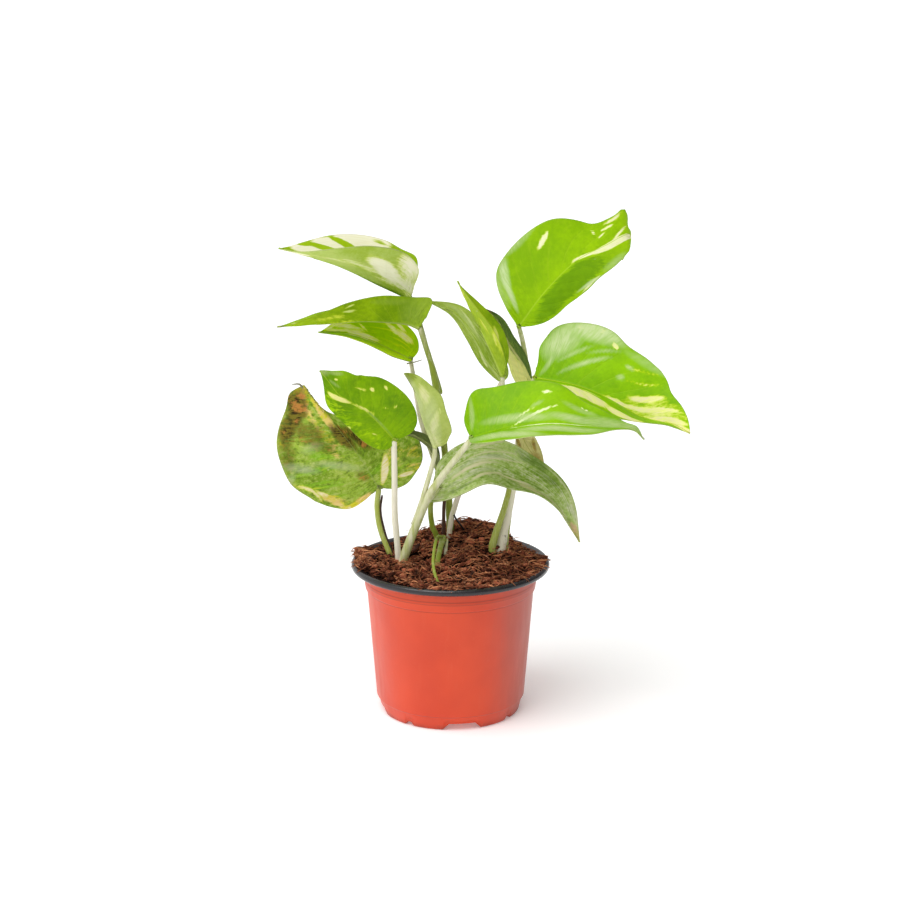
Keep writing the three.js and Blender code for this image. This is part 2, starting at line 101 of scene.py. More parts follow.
def stepsOf(vector):  # a place's x, y and z
    return newNode("SeparateXYZ", {0: vector}).node.outputs


def tint(colour):  # a colour of 0 to 255, as light
    parts = [value / 255 for value in colour]
    return (*[part / 12.92 if part <= 0.04045 else ((part + 0.055) / 1.055) ** 2.4 for part in parts], 1)


def newMaterial(name, sockets):
    material = bpy.data.materials.new(name)
    material.use_nodes = True
    building["tree"] = material.node_tree
    shader = material.node_tree.nodes["Principled BSDF"]
    for key, value in sockets.items():
        shader.inputs[key].default_value = value
    return material, shader, newNode("TexCoord", None, "Object")


def dress(shader, colour, height, strength, distance, rough=None):
    feed(shader.inputs["Base Color"], colour)
    feed(shader.inputs["Normal"], newNode("Bump", {"Strength": strength, "Distance": distance * mm, "Height": height}))
    if rough:
        feed(shader.inputs["Roughness"], rough)


def between(before, first, second, after, share):  # a place on the smooth curve from first to second
    return 0.5 * (2 * first + (second - before) * share
                  + (2 * before - 5 * first + 4 * second - after) * share ** 2
                  + (3 * first - before - 3 * second + after) * share ** 3)


pathForm = {"steps": 200, "fine": 600}


def smoothPath(points):  # places and directions at equal steps along a smooth curve; points in mm
    knots = [Vector([value * mm for value in point]) for point in points]
    knots = [2 * knots[0] - knots[1], *knots, 2 * knots[-1] - knots[-2]]
    spans, steps, count = len(points) - 1, pathForm["steps"], pathForm["fine"]

    def at(place):
        k = min(int(place), spans - 1)
        return between(*knots[k:k + 4], place - k)

    fine = [at(spans * i / count) for i in range(count + 1)]
    lengths = [0]
    for i in range(count):
        lengths.append(lengths[-1] + (fine[i + 1] - fine[i]).length)
    places, k = [], 0
    for i in range(steps + 1):
        wanted = lengths[-1] * i / steps
        while k < count - 1 and lengths[k + 1] < wanted:
            k += 1
        part = (wanted - lengths[k]) / max(lengths[k + 1] - lengths[k], 1e-9)
        places.append(at(spans * (k + min(part, 1)) / count))
    heads = [(places[min(i + 1, steps)] - places[max(i - 1, 0)]).normalized() for i in range(steps + 1)]
    return {"places": places, "heads": heads, "length": lengths[-1]}


def onPath(path, share):
    steps = pathForm["steps"]
    place = min(max(share, 0), 1) * steps
    k = min(int(place), steps - 1)
    return (path["places"][k].lerp(path["places"][k + 1], place - k),
            path["heads"][k].lerp(path["heads"][k + 1], place - k).normalized())


def newLayers(bm, *names):
    return {name: bm.verts.layers.float.new(name) for name in names}


def extruded(bm, edges):  # the new corners and edges
    made = bmesh.ops.extrude_edge_only(bm, edges=edges)["geom"]
    return [[item for item in made if isinstance(item, kind)] for kind in (bmesh.types.BMVert, bmesh.types.BMEdge)]


def newRing(bm, sides):
    ring = bmesh.ops.create_circle(bm, cap_ends=False, radius=1, segments=sides)["verts"]
    edges = list(dict.fromkeys(edge for vert in ring for edge in vert.link_edges))
    bmesh.ops.contextual_create(bm, geom=edges)
    return ring, edges


def spun(bm, profile, steps):  # a profile of radius and height in mm, turned about the upright axis
    chain = [bm.verts.new((radius * mm, 0, height * mm)) for radius, height in profile]
    edges = [bm.edges.new(pair) for pair in zip(chain, chain[1:])]
    bmesh.ops.spin(bm, geom=chain + edges, axis=(0, 0, 1), cent=(0, 0, 0), angle=2 * math.pi, steps=steps,
                   use_merge=True)
    bmesh.ops.remove_doubles(bm, verts=bm.verts, dist=1e-6)


def addObject(name, data):
    made = bpy.data.objects.new(name, data)
    bpy.context.scene.collection.objects.link(made)
    return made


def finishPiece(name, bm, materials, nodes=()):
    mesh = bpy.data.meshes.new(name)
    for face in bm.faces:
        face.smooth = True
    bm.to_mesh(mesh)
    bm.free()
    for material in materials:
        mesh.materials.append(material)
    piece = addObject(name, mesh)
    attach(piece, "root")
    if nodes:
        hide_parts(*nodes)
    return piece


# Half a leaf's margin from the stalk round to the tip: shares of its length and of its half width.
leafMargins = {
    "heart": [(0, 0), (-0.06, 0.12), (-0.11, 0.38), (-0.07, 0.7), (0.07, 0.93), (0.25, 1),
              (0.45, 0.89), (0.65, 0.64), (0.82, 0.34), (0.93, 0.12), (1, 0)],
    "oval": [(0, 0), (0.01, 0.12), (0.04, 0.38), (0.1, 0.68), (0.19, 0.9), (0.32, 1),
             (0.48, 0.92), (0.66, 0.68), (0.82, 0.37), (0.93, 0.13), (1, 0)],
}
leafForm = {
    "along": 124, "across": 64,
    "veinSweep": 2.7,  # how far the side veins lean towards the tip
    "veins": 15,
    "quilt": 0.22,  # mm, rise of the blade between its side veins
    "groove": 0.5, "grooveWide": 1.2,  # mm, the midrib's dip in the upper face
    "ruffle": 0.5, "ripple": 0.09,  # mm, ripple of the margin, and how fast it changes along the leaf
    "lift": 0.25,  # mm, upper face above the middle of the solid
    "thick": 0.5, "ribThick": 1.5, "ribWide": 1.1, "ribNarrows": 0.7,  # mm, the last is lost by the tip
}
plainLook = {  # what holds for a leaf that says nothing else; colours are 0 to 255
    "lengthwise": False, "streaks": 0.9, "fleckScale": 190, "ribWide": 0.8, "ribShare": 0.7, "rough": 0.38,
    "yellowAndShadeUnder": 1, "vein": (178, 206, 40), "halo": (190, 206, 70), "cream": (238, 232, 190),
    "fleck": (226, 234, 160), "yellowAndShade": (196, 186, 60), "yellowAndShadeToo": (218, 206, 130), "dry": (72, 52, 22),
    "dryPale": (132, 124, 46), "dryWarm": (150, 88, 48), "pale": (214, 226, 190), "rib": (190, 212, 90),
    "edge": (150, 162, 96),
}


def marginPoint(kind, row):
    points = [Vector(point) for point in leafMargins[kind]]
    place = min(max(row, 0), 1) * (len(points) - 1)
    k = min(int(place), len(points) - 2)
    picked = [points[min(max(k + step, 0), len(points) - 1)] for step in (-1, 0, 1, 2)]
    return between(*picked, place - k)


def halfValue(leaf, key, side, share, otherwise=0):
    start = leaf.get(key, (otherwise, otherwise))
    end = leaf.get(key + "Tip", start)
    return start[side] + (end[side] - start[side]) * min(max(share, 0), 1)


def leafPoint(path, leaf, row, across):
    out = abs(across)
    side, sign = (0, 1) if across > 0 else (1, -1)
    edge = marginPoint("oval", row).lerp(marginPoint("heart", row), halfValue(leaf, "heart", side, 0, 1))
    rootShare = row ** leafForm["veinSweep"]
    share = rootShare + (edge.x - rootShare) * out
    held = min(max(share, 0), 1)
    place, head = onPath(path, held)
    place = place + head * ((share - held) * path["length"])
    face = Vector(leaf["face"]).lerp(Vector(leaf.get("faceTip", leaf["face"])), held ** 3)
    up = (face - head * face.dot(head)).normalized()
    left = up.cross(head)
    width = leaf["width"][side] * mm
    reach = max(edge.y, 0) ** halfValue(leaf, "full", side, row, 1) * out * width
    fold = math.radians(halfValue(leaf, "fold", side, share))
    bend = math.radians(halfValue(leaf, "curl", side, share)) / width or 1e-6
    level = (math.sin(fold + bend * reach) - math.sin(fold)) / bend
    rise = (math.cos(fold) - math.cos(fold + bend * reach)) / bend
    place = place + left * (sign * level) + up * rise
    for spot, pull, spread in leaf.get("tugs", ()):  # small shifts of the outline, in mm
        away = (place - Vector(spot) * mm).length / (spread * mm)
        place = place + Vector(pull) * mm * math.exp(-away * away)
    return place, (share * path["length"], sign * reach)


def markValue(marks, length, along, aside):  # strongest of the soft ellipses at a place on the leaf
    most = 0
    for share, offset, long, wide, turn, strength in marks:
        x, y = along - share * length, aside - offset
        cosine, sine = math.cos(math.radians(turn)), math.sin(math.radians(turn))
        away = ((x * cosine + y * sine) / long) ** 2 + ((y * cosine - x * sine) / wide) ** 2
        most = max(most, strength * (1 - away))
    return most


def leafMaterial(name, leaf, under):
    look = {**plainLook, **leaf}
    material, shader, where = newMaterial(name, {
        "Specular IOR Level": 0.08 if under else 0.1, "Coat Weight": 0 if under else 0.01, "Coat Roughness": 0.25})
    side, row = stepsOf(newNode("UVMap", uv_map="grid"))[:2]
    ribAway = calc("ABSOLUTE", stepsOf(newNode("UVMap", uv_map="flat"))[1])
    across = calc("SUBTRACT", times(side, 2), 1)
    out = calc("ABSOLUTE", across)
    seed = look["seed"]

    def alongVeins(wide, long, shift, *more):  # a noise that changes slowly along the side veins
        return noiseOf(newNode("CombineXYZ", {0: times(across, wide), 1: times(row, long), 2: shift}), *more)

    wide, long = (9, 2.4) if look["lengthwise"] else (1.1, 17)
    streak = alongVeins(wide, long, seed * 3.7, 1.6, 5, 0.62)
    fine = alongVeins(wide * 2.4, long * 3.6, seed * 5.1, 1.8, 3, 0.6)
    cloud = noiseOf(where, 34, 3, 0.55)
    speckle = noiseOf(where, 420, 3, 0.62)
    deep, bright = look["under" if under else "top"]
    colour = painted(tint(deep), ramped(swayed(cloud, (speckle, 0.35)), 0.3, 0.7), bright)
    if "mosaic" in look:  # fine streaks and specks of other greens
        narrow = (17, 6) if look["lengthwise"] else (7, 38)
        specks = swayed(alongVeins(*narrow, seed + 3, 1.3, 4, 0.7), (speckle, 0.6))
        colour = painted(colour, ramped(specks, 0.5, 0.66, 0, 0.6), look["mosaic"][0])
        colour = painted(colour, ramped(specks, 0.48, 0.34, 0, 0.6), look["mosaic"][1])
        colour = painted(colour, ramped(swayed(streak, (speckle, 0.3)), 0.52, 0.66, 0, 0.6), look["mosaic"][2])
    # side veins: thin pale lines that fade out to the margin
    colour = painted(colour, times(ramped(fine, 0.52, 0.8), 0.22), look["vein"])
    wave = calc("ABSOLUTE", calc("SINE", times(swayed(row, (cloud, 0.02)), math.pi * leafForm["veins"])))
    veinLine = times(ramped(wave, 0.2, 0), ramped(out, 1, 0.4))
    colour = painted(colour, times(veinLine, 0.26 if under else 0.14), look["vein"])
    # cream and yellow-green patches: marks on the leaf, broken into streaks along the veins
    marked = attributeOf("cream")
    isMarked = ramped(marked, -0.02, 0.12)
    cream = swayed(marked, (streak, 1.1), (fine, 0.9), (speckle, 0.5))
    colour = painted(colour, times(ramped(cream, 0, 0.5), isMarked), look["halo"])
    creamTone = painted(tint(look["cream"]), ramped(fine, 0.35, 0.65), look.get("creamToo", look["cream"]))
    colour = mixed(times(ramped(cream, 0.2, 0.9), isMarked), colour, creamTone)
    start = look["streaks"]
    colour = painted(colour, times(ramped(streak, start - 0.03, start + 0.1), 0.8), look["halo"])
    # small pale flecks in some of the cells
    cells = newNode("TexVoronoi", {"Vector": where, "Scale": look["fleckScale"]})
    chosen = newNode("SeparateColor", {0: cells.node.outputs["Color"]})
    isFleck = times(ramped(swayed(cells, (speckle, 0.3)), 0.3, 0.14),
                    ramped(chosen, 1 - look["flecks"], 1.01 - look["flecks"]))
    colour = painted(colour, times(isFleck, 0.7), look["fleck"])
    # yellowed and dried parts, in a fine broken pattern; on the upper right leaf the yellow marks lay a deeper green,
    # painted shade
    worn = noiseOf(where, 150, 5, 0.68)
    yellowedAndShaded = attributeOf("yellowAndShade")
    if under:
        yellowedAndShaded = times(yellowedAndShaded, look["yellowAndShadeUnder"])
    yellowAndShade = swayed(yellowedAndShaded, (streak, 1.6), (fine, 1.4), (speckle, 1))
    colour = mixed(times(ramped(yellowAndShade, 0.15, 0.8), ramped(yellowedAndShaded, 0, 0.2)), colour,
                   painted(tint(look["yellowAndShade"]), ramped(worn, 0.42, 0.6), look["yellowAndShadeToo"]))
    dried = attributeOf("dry")
    dry = swayed(dried, (worn, 1.2), (fine, 1.2), (speckle, 0.9))
    dryTone = painted(tint(look["dry"]), ramped(swayed(fine, (speckle, 0.6)), 0.4, 0.58), look["dryPale"])
    dryTone = painted(dryTone, ramped(swayed(streak, (worn, 0.9)), 0.54, 0.7, 0, 0.75), look["dryWarm"])
    colour = mixed(times(ramped(dry, 0, 0.95), ramped(dried, 0, 0.4)), colour, dryTone)
    # pale patches laid over the colour, mostly painted sheen
    pale = times(attributeOf("pale"), ramped(swayed(fine, (cloud, 0.6)), 0.25, 0.7, 0.5, 1))
    colour = painted(colour, pale, look["pale"])
    # midrib and thin margin line
    ribWide = ramped(row, 0, 1, look["ribWide"] * mm, 0.25 * mm)
    ribLine = ramped(calc("DIVIDE", ribAway, ribWide), 1, 0.3)
    colour = painted(colour, times(ribLine, look["ribShare"]), look["rib"])
    marginLine = ramped(swayed(out, (cloud, 0.03)), 0.965, 0.995)
    colour = painted(colour, times(marginLine, 0.32), look["edge"])
    relief = calc("ADD", times(fine, 0.5), times(noiseOf(where, 900, 2, 0.6), 0.16))
    rough = look["rough"]
    dress(shader, colour, calc("ADD", times(veinLine, 0.7 if under else -0.6), relief), 0.3, 0.5,
          ramped(cloud, 0.3, 0.7, rough + (0.14 if under else 0), rough + 0.24))
    return material


def makeLeaf(name, leaf):
    form, path = leafForm, smoothPath(leaf["midrib"])
    length = path["length"] / mm
    bm = bmesh.new()
    bm.loops.layers.uv.new("grid")  # filled by the grid itself
    bmesh.ops.create_grid(bm, x_segments=form["across"], y_segments=form["along"], size=0.5, calc_uvs=True)
    flatLayer = bm.loops.layers.uv.new("flat")
    deform = bm.verts.layers.deform.verify()
    layers = newLayers(bm, "cream", "yellowAndShade", "dry", "pale")
    flats, rises = {}, {}
    for vert in bm.verts:
        across, row = -2 * vert.co.x, vert.co.y + 0.5
        spread = abs(across) ** 0.9 * (1 if across > 0 else -1)
        vert.co, flats[vert] = leafPoint(path, leaf, row, spread)
        along, aside = flats[vert][0] / mm, flats[vert][1] / mm
        for key, layer in layers.items():
            vert[layer] = markValue(leaf.get(key + "Marks", ()), length, along, aside)
        vert[layers["cream"]] -= markValue(leaf.get("greenMarks", ()), length, along, aside)
        out = abs(spread)
        quilt = (abs(math.sin(math.pi * form["veins"] * row)) - 0.6) * form["quilt"] * math.sin(math.pi * min(out, 1))
        groove = -form["groove"] * math.exp(-(aside / form["grooveWide"]) ** 2) * (1 - row)
        ruffle = form["ruffle"] * out ** 4 * noise.noise(Vector((along * form["ripple"], 3 * spread, leaf["seed"])))
        rises[vert] = (quilt + groove + ruffle * math.sin(math.pi * row) + form["lift"]) * mm
        rib = math.exp(-(aside / (form["ribWide"] - form["ribNarrows"] * row)) ** 2) * (1 - row) ** 0.7
        vert[deform][0] = (form["thick"] + (form["ribThick"] - form["thick"]) * rib) / form["ribThick"]
    for face in bm.faces:
        for loop in face.loops:
            loop[flatLayer].uv = flats[loop.vert]
    bm.normal_update()
    moves = {vert: vert.normal.copy() * rises[vert] for vert in bm.verts}
    for vert, move in moves.items():
        vert.co += move
    bmesh.ops.remove_doubles(bm, verts=bm.verts, dist=1e-6)
    materials = [leafMaterial(name + "Top", leaf, False), leafMaterial(name + "Under", leaf, True)]
    piece = finishPiece(name, bm, materials, [leaf["node"]])
    piece.vertex_groups.new(name="thick")
    shell = piece.modifiers.new("thickness", "SOLIDIFY")
    shell.thickness, shell.offset, shell.vertex_group = form["ribThick"] * mm, -1, "thick"
    shell.material_offset = shell.material_offset_rim = 1


# Marks are soft ellipses: share along the midrib, mm out from it (left half positive), half length and half
# width in mm, turn in degrees, strength. Tugs are a spot, a shift and a spread in mm.
# The pale marks are mostly painted sheen.
topLeftLeaf = {
    "node": "blade_top_left", "slot": "leaf_cream",
    "midrib": [(-24, 12, 252), (-41, 9, 260), (-67, 4, 273), (-100, -4, 284)], "face": (-0.2, 0, 1),
    "width": (26, 28), "fold": (85, 70), "foldTip": (5, 40), "heart": (0.3, 0.3), "full": (0.7, 1),
    "fullTip": (1.1, 1), "top": ((138, 174, 0), (166, 200, 10)), "under": ((160, 186, 58), (192, 210, 112)),
    "seed": 2, "flecks": 0.01, "cream": (255, 252, 222), "creamToo": (250, 246, 212), "halo": (204, 218, 96),
    "edge": (164, 170, 130), "vein": (196, 210, 110), "rib": (140, 176, 40), "pale": (196, 208, 120),
    "lengthwise": True,
    "tugs": [((-23, 21, 271), (2.4, 0, 3.1), 7), ((-19, 12, 260), (-1.8, 0, 0), 6)],
    "creamMarks": [(0.64, -12.8, 13, 5.4, -173, 1.7), (0.44, -20, 19, 11, -170, 2.2),
        (0.3, -12, 16, 9, -170, 1.8), (0.8, -5, 13, 3.6, -175, 1.6), (0.86, 1.5, 10, 2, 175, 1.2),
        (0.26, 11, 17, 6, -160, 1.3), (0.08, 18, 14, 10, -150, 0.8), (0.42, 7.3, 16, 2.4, 180, 0.6),
        (0.06, 6, 14, 9, 0, 0.75), (0.2, 3, 14, 3, 0, 0.6), (0.6, 5, 18, 1.4, 178, 0.5)],
    "greenMarks": [(0.66, -9.3, 12, 2.2, 178, 2.6), (0.53, -15.7, 11, 2.8, 169, 2.6),
        (0.42, -17.5, 5, 3, -173, 2), (0.36, -25, 7, 2.2, -177, 1.3), (0.84, -9, 6, 2.8, 176, 2),
        (0.3, 1.5, 30, 2, 0, 0.6)],
    "paleMarks": [(0.62, 4, 18, 2, 178, 0.6), (0.45, 9, 14, 3, 178, 0.45)],
}
makeLeaf("leafTopLeft", topLeftLeaf)
leftUndersideLeaf = {
    "node": "blade_left_underside", "slot": "leaf_green",
    "midrib": [(-18, 2, 236), (-28, 1, 239), (-50, -3, 241), (-72, -6, 240), (-101, -12, 239)], "face": (0, 0, 1),
    "width": (18, 20), "fold": (78, 20), "foldTip": (35, 20), "heart": (0.8, 0), "full": (0.6, 1),
    "fullTip": (1.1, 1), "top": ((124, 160, 6), (150, 186, 20)), "under": ((112, 148, 0), (158, 192, 8)), "seed": 5,
    "flecks": 0.004, "vein": (176, 198, 50), "rib": (176, 188, 104), "cream": (206, 220, 130), "halo": (176, 200, 50),
    "edge": (110, 124, 60), "yellowAndShade": (206, 222, 60), "yellowAndShadeToo": (190, 210, 50), "pale": (160, 180, 80),
    "dry": (96, 112, 24), "dryPale": (110, 130, 30), "dryWarm": (120, 128, 50),
    "tugs": [((-14, -1, 251), (3.6, 0, 3), 6), ((-9, 1, 242), (-5.4, 0, 0), 8)],
    "creamMarks": [(0.5, 8.7, 5, 1.2, 179, 0.9), (0.49, 12.9, 3.5, 0.9, 155, 0.8), (0.9, 3.7, 5, 1, 170, 0.7)],
    "paleMarks": [(0.2, 0, 14, 0.8, 0, 0.8), (0.04, 8, 12, 14, 0, 0.5), (0.2, 14, 16, 3, 0, 0.4)],
    "yellowAndShadeMarks": [(0.64, 5, 16, 2.4, 176, 0.7), (0.56, 0.5, 18, 1.4, 178, 0.6)],
    "dryMarks": [(1, 0, 6, 3, 0, 1.2)],
}
makeLeaf("leafLeftUnderside", leftUndersideLeaf)
leftStreakedLeaf = {
    "node": "blade_left_streaked", "slot": "leaf_streaked",
    "midrib": [(-24, 16, 214), (-45, 12, 225), (-61, 8, 231), (-78, 2, 233)], "face": (0, 0, 1), "width": (15, 20),
    "fold": (-6, 60), "foldTip": (-6, 50), "heart": (0.2, 0.6), "top": ((166, 216, 0), (204, 244, 0)),
    "under": ((140, 174, 20), (170, 196, 60)), "seed": 9, "flecks": 0.006, "cream": (255, 255, 130),
    "creamToo": (255, 250, 190), "halo": (226, 244, 20), "streaks": 0.56, "edge": (126, 134, 80), "lengthwise": True,
    "creamMarks": [(0.72, -4.9, 13, 2.2, 179, 1), (0.56, -1.8, 16, 2, 179, 1.1), (0.8, -1.6, 9, 1.3, 180, 1),
        (0.27, -12.9, 7, 2, 156, 0.9), (0.14, -11.5, 8, 3, 167, 1.1), (0.55, -6.7, 4, 1, 147, 0.8),
        (0.57, 1.5, 14, 1.6, 179, 1.1), (0.9, -3, 5, 1.8, 180, 0.9), (0.2, -16, 5, 1.4, 160, 1)],
}
makeLeaf("leafLeftStreaked", leftStreakedLeaf)
leftRoundLeaf = {
    "node": "blade_left_round", "slot": "leaf_green",
    "midrib": [(-33, -24, 174), (-46, -30, 190), (-56, -33, 199), (-64, -34, 205), (-75.5, -30, 217)],
    "face": (0, -1, 0.4), "width": (14, 23), "fold": (5, 5), "foldTip": (-20, 0), "full": (1, 0.75),
    "heart": (0.4, 0.7), "top": ((94, 140, 0), (134, 178, 0)), "under": ((150, 170, 70), (170, 188, 92)), "seed": 3,
    "flecks": 0.012, "cream": (236, 232, 150), "creamToo": (222, 222, 124), "halo": (180, 202, 40),
    "rib": (164, 190, 40), "ribShare": 0.6, "ribWide": 0.7, "edge": (160, 182, 80), "pale": (176, 192, 120),
    "yellowAndShade": (150, 196, 0), "yellowAndShadeToo": (168, 206, 10),
    "tugs": [((-50, -28, 216), (0, 0, -1.8), 5), ((-61, -30, 216), (0, 0, 1.2), 5),
        ((-66, -35, 195), (-3.6, 0, 0), 12)],
    "creamMarks": [(0.69, 2, 7.5, 1.5, -164, 1.3), (0.63, 1.5, 6, 1.1, -168, 1.2), (0.44, -0.7, 8, 1, -170, 0.8),
        (0.49, -12.2, 1.5, 1.3, 160, 1.5), (0.41, -17.9, 1.4, 0.9, 166, 1.3), (0.43, 12.9, 1.5, 0.9, 174, 1.2),
        (0.19, 6.1, 2.6, 0.6, -155, 0.8), (0.24, -14, 1.6, 0.6, -89, 0.8), (0.3, -9, 2.2, 0.5, 40, 0.6),
        (0.57, -9, 4, 0.5, 20, 0.6), (0.83, -3.8, 1.4, 0.7, -149, 1)],
    "paleMarks": [(0.98, -1, 5, 3, -158, 0.8), (0.88, -5.5, 6, 1.3, -144, 0.6), (0.81, -1.8, 5, 1, -166, 0.5),
        (0.25, -0.6, 16, 0.7, 0, 0.5)],
    "yellowAndShadeMarks": [(0.55, 9.6, 26, 7, 170, 0.42), (0.15, 8, 12, 7, 0, 0.4)],
}
makeLeaf("leafLeftRound", leftRoundLeaf)
oldLeaf = {
    "node": "blade_old", "slot": "leaf_old",
    "midrib": [(-43, 0, 138), (-50, -1, 151), (-61, -3, 168), (-76, -3, 187), (-87, 1, 201)], "face": (0, -1, 0.3),
    "width": (47, 37), "fold": (5, 5), "foldTip": (0, -70), "full": (0.85, 0.8), "fullTip": (0.45, 5),
    "heart": (0, 1), "top": ((118, 152, 34), (164, 190, 70)), "under": ((120, 134, 70), (146, 156, 90)), "seed": 6,
    "flecks": 0.03, "fleckScale": 330, "rough": 0.44, "cream": (246, 234, 204), "creamToo": (232, 220, 140),
    "halo": (200, 206, 60), "dry": (52, 38, 12), "dryPale": (120, 110, 36), "dryWarm": (200, 132, 66),
    "pale": (190, 198, 160), "yellowAndShade": (212, 204, 50), "yellowAndShadeToo": (230, 200, 120),
    "mosaic": ((190, 200, 110), (80, 98, 28), (128, 190, 30)), "rib": (150, 164, 96), "ribShare": 0.35,
    "edge": (150, 146, 90), "fleck": (196, 202, 120), "streaks": 0.66,
    "tugs": [((-90, -12, 130), (5.4, 0, 5.5), 14), ((-59, -4, 132), (0, 0, -4.9), 12),
        ((-101, -10, 167), (-2.4, 0, 0), 14), ((-93, -1, 196), (-2.4, 0, 1.2), 6), ((-34, 1, 134), (0, 0, 3.7), 9),
        ((-19, 3, 155), (1.8, 0, -1.2), 10)],
    "creamMarks": [(0.15, 29.1, 15, 2.8, -134, 1.3), (0.03, 14.4, 10, 2, -100, 1.3),
        (0.1, -8.4, 11, 2.6, -37, 1.5), (0, -18, 6, 1.8, -90, 1.5), (0.28, 41, 14, 2, -160, 0.8)],
    "yellowAndShadeMarks": [(0.69, 1.4, 22, 2.8, 176, 1.2), (0.82, 7.7, 11, 2, -179, 0.9), (0.71, 9, 16, 1.6, -172, 0.7),
        (0.97, 2, 5, 6, 0, 0.9), (0.03, 11.9, 9.3, 2.6, -102, 1.2), (0.11, 25.5, 16, 4.4, -125, 0.8),
        (0.73, 30, 5, 1.3, 174, 0.7), (0.46, 9.2, 9, 1.6, 170, 0.5), (0.6, 8, 24, 5, 176, 0.45),
        (0.9, 6, 10, 4, 150, 0.7), (0.13, -28.3, 9, 4, -103, 0.5), (0.16, -18, 12, 6, 140, 0.4),
        (0.03, -26, 10, 3, -101, 0.6)],
    "dryMarks": [(0.88, 12, 18, 8, 130, 1.1), (0.8, 22, 18, 6, 132, 1), (0.66, 32, 14, 6, 140, 0.6),
        (0.66, 14, 20, 9, -166, 0.65), (0.5, 0.7, 14, 5, -172, 1.2), (0.42, -6, 14, 5, -160, 1.1),
        (0.84, -3, 16, 2.4, 172, 0.8), (0.17, 4.4, 8, 4, -154, 0.5)],
    "greenMarks": [(0.32, 26.2, 15, 5, -133, 0.5)],
    "paleMarks": [(0.51, 32, 14, 4, -142, 0.65), (0.35, 14, 20, 3, -134, 0.5), (0.59, 19.3, 8, 4, -112, 0.3),
        (0.5, 42, 6, 3, 120, 0.5)],
}
makeLeaf("leafOld", oldLeaf)
paleLeaf = {
    "node": "blade_pale", "slot": "leaf_pale",
    "midrib": [(-9, -24, 170), (-15, -28, 185), (-21, -28, 204), (-27, -24, 214)], "face": (0.9, 0.4, 0.3),
    "width": (15, 15), "fold": (50, 50), "heart": (0.3, 0.3), "full": (0.55, 0.55),
    "top": ((112, 138, 40), (140, 160, 60)), "under": ((146, 166, 66), (172, 186, 98)), "seed": 11, "flecks": 0,
    "vein": (186, 198, 116), "rib": (196, 206, 136), "cream": (206, 208, 146), "halo": (184, 196, 108),
    "yellowAndShade": (112, 128, 36), "yellowAndShadeToo": (126, 142, 50), "edge": (150, 164, 86), "lengthwise": True,
    "pale": (196, 204, 164),
    "tugs": [((-8, -32, 202), (2.4, 0, 0.6), 8), ((1, -28, 175), (-1.8, 0, 1.8), 5)],
    "creamMarks": [(0.68, 4.5, 7, 3, -176, 0.8), (0.3, 5.4, 12, 3, 30, 0.7), (0.66, -5, 7, 4, 175, 0.6),
        (0.1, 0, 9, 7, 0, 0.6)],
    "paleMarks": [(0.6, -3, 26, 7, 0, 0.6), (0.3, 3, 20, 7, 10, 0.45)],
    "yellowAndShadeMarks": [(0.98, 0, 8, 9, 0, 1.2)],
}
makeLeaf("leafPale", paleLeaf)
archedLeaf = {
    "node": "blade_arched", "slot": "leaf_green",
    "midrib": [(31, 11, 202), (22, 14, 213), (13.5, 14, 228), (2, 13, 242.5), (-15, 9, 251)], "face": (0.3, 0.9, 0.4),
    "width": (12, 6), "fold": (10, 10), "heart": (0.3, 0.3), "top": ((122, 152, 22), (150, 178, 44)),
    "under": ((136, 166, 40), (170, 192, 80)), "seed": 13, "flecks": 0.004, "vein": (196, 210, 130),
    "rib": (190, 206, 120), "lengthwise": True, "halo": (196, 210, 120), "streaks": 0.56, "cream": (214, 224, 160),
    "edge": (120, 138, 56), "pale": (200, 212, 150),
    "creamMarks": [(0.58, 4, 12, 0.8, -175, 0.7), (0.24, -1.5, 7, 1.4, -170, 0.9)],
    "paleMarks": [(0.3, 8, 16, 4, 0, 0.6), (0.6, 3, 20, 2, 0, 0.5)],
}
makeLeaf("leafArched", archedLeaf)
spikeLeaf = {
    "node": "blade_spike", "slot": "leaf_green", "midrib": [(31, 2, 207), (20, 2, 231), (12, 2, 246), (4, 0, 264)],
    "face": (0.85, -0.35, 0.3), "width": (8, 16), "fold": (80, 20), "heart": (0, 0), "full": (1, 1.2),
    "top": ((118, 156, 6), (152, 184, 20)), "under": ((138, 168, 34), (170, 196, 60)), "seed": 4, "flecks": 0.02,
    "cream": (214, 220, 110), "halo": (190, 208, 40), "streaks": 0.58, "lengthwise": True, "edge": (126, 140, 50),
    "creamMarks": [(0.35, -9, 7, 2, 163, 1), (0.36, 6, 6, 1.2, -170, 0.9), (0.86, 0, 5, 1, 0, 0.8),
        (0.51, 3.4, 7, 0.8, 175, 0.8), (0.3, 9, 14, 4, 0, 0.6)],
}
makeLeaf("leafSpike", spikeLeaf)
threadTipLeaf = {
    "node": "blade_thread_tip", "slot": "leaf_dark",
    "midrib": [(49, 24, 196), (43, 26, 209), (35, 28, 221), (28, 30, 235), (16, 30, 244)], "face": (0.2, 1, 0.3),
    "width": (6, 12), "fold": (80, 10), "foldTip": (10, 75), "heart": (0, 0.3), "full": (1, 0.8),
    # the dark green top is partly painted shade of the half turned from the light
    "top": ((62, 86, 34), (88, 112, 48)), "under": ((56, 80, 34), (90, 114, 54)), "seed": 8, "flecks": 0.01,
    "cream": (232, 226, 140), "creamToo": (214, 220, 136), "halo": (190, 204, 80), "edge": (132, 96, 56),
    "lengthwise": True, "streaks": 0.6, "rib": (204, 200, 130), "yellowAndShade": (120, 96, 66), "yellowAndShadeToo": (92, 84, 60),
    "creamMarks": [(0.12, -6, 32, 7, 0, 1.2), (0.5, -5, 22, 4.5, 0, 1.1), (0.15, -2, 14, 3, 0, 1)],
    "yellowAndShadeMarks": [(0.98, 0, 12, 3, 0, 1)],
}
makeLeaf("leafThreadTip", threadTipLeaf)
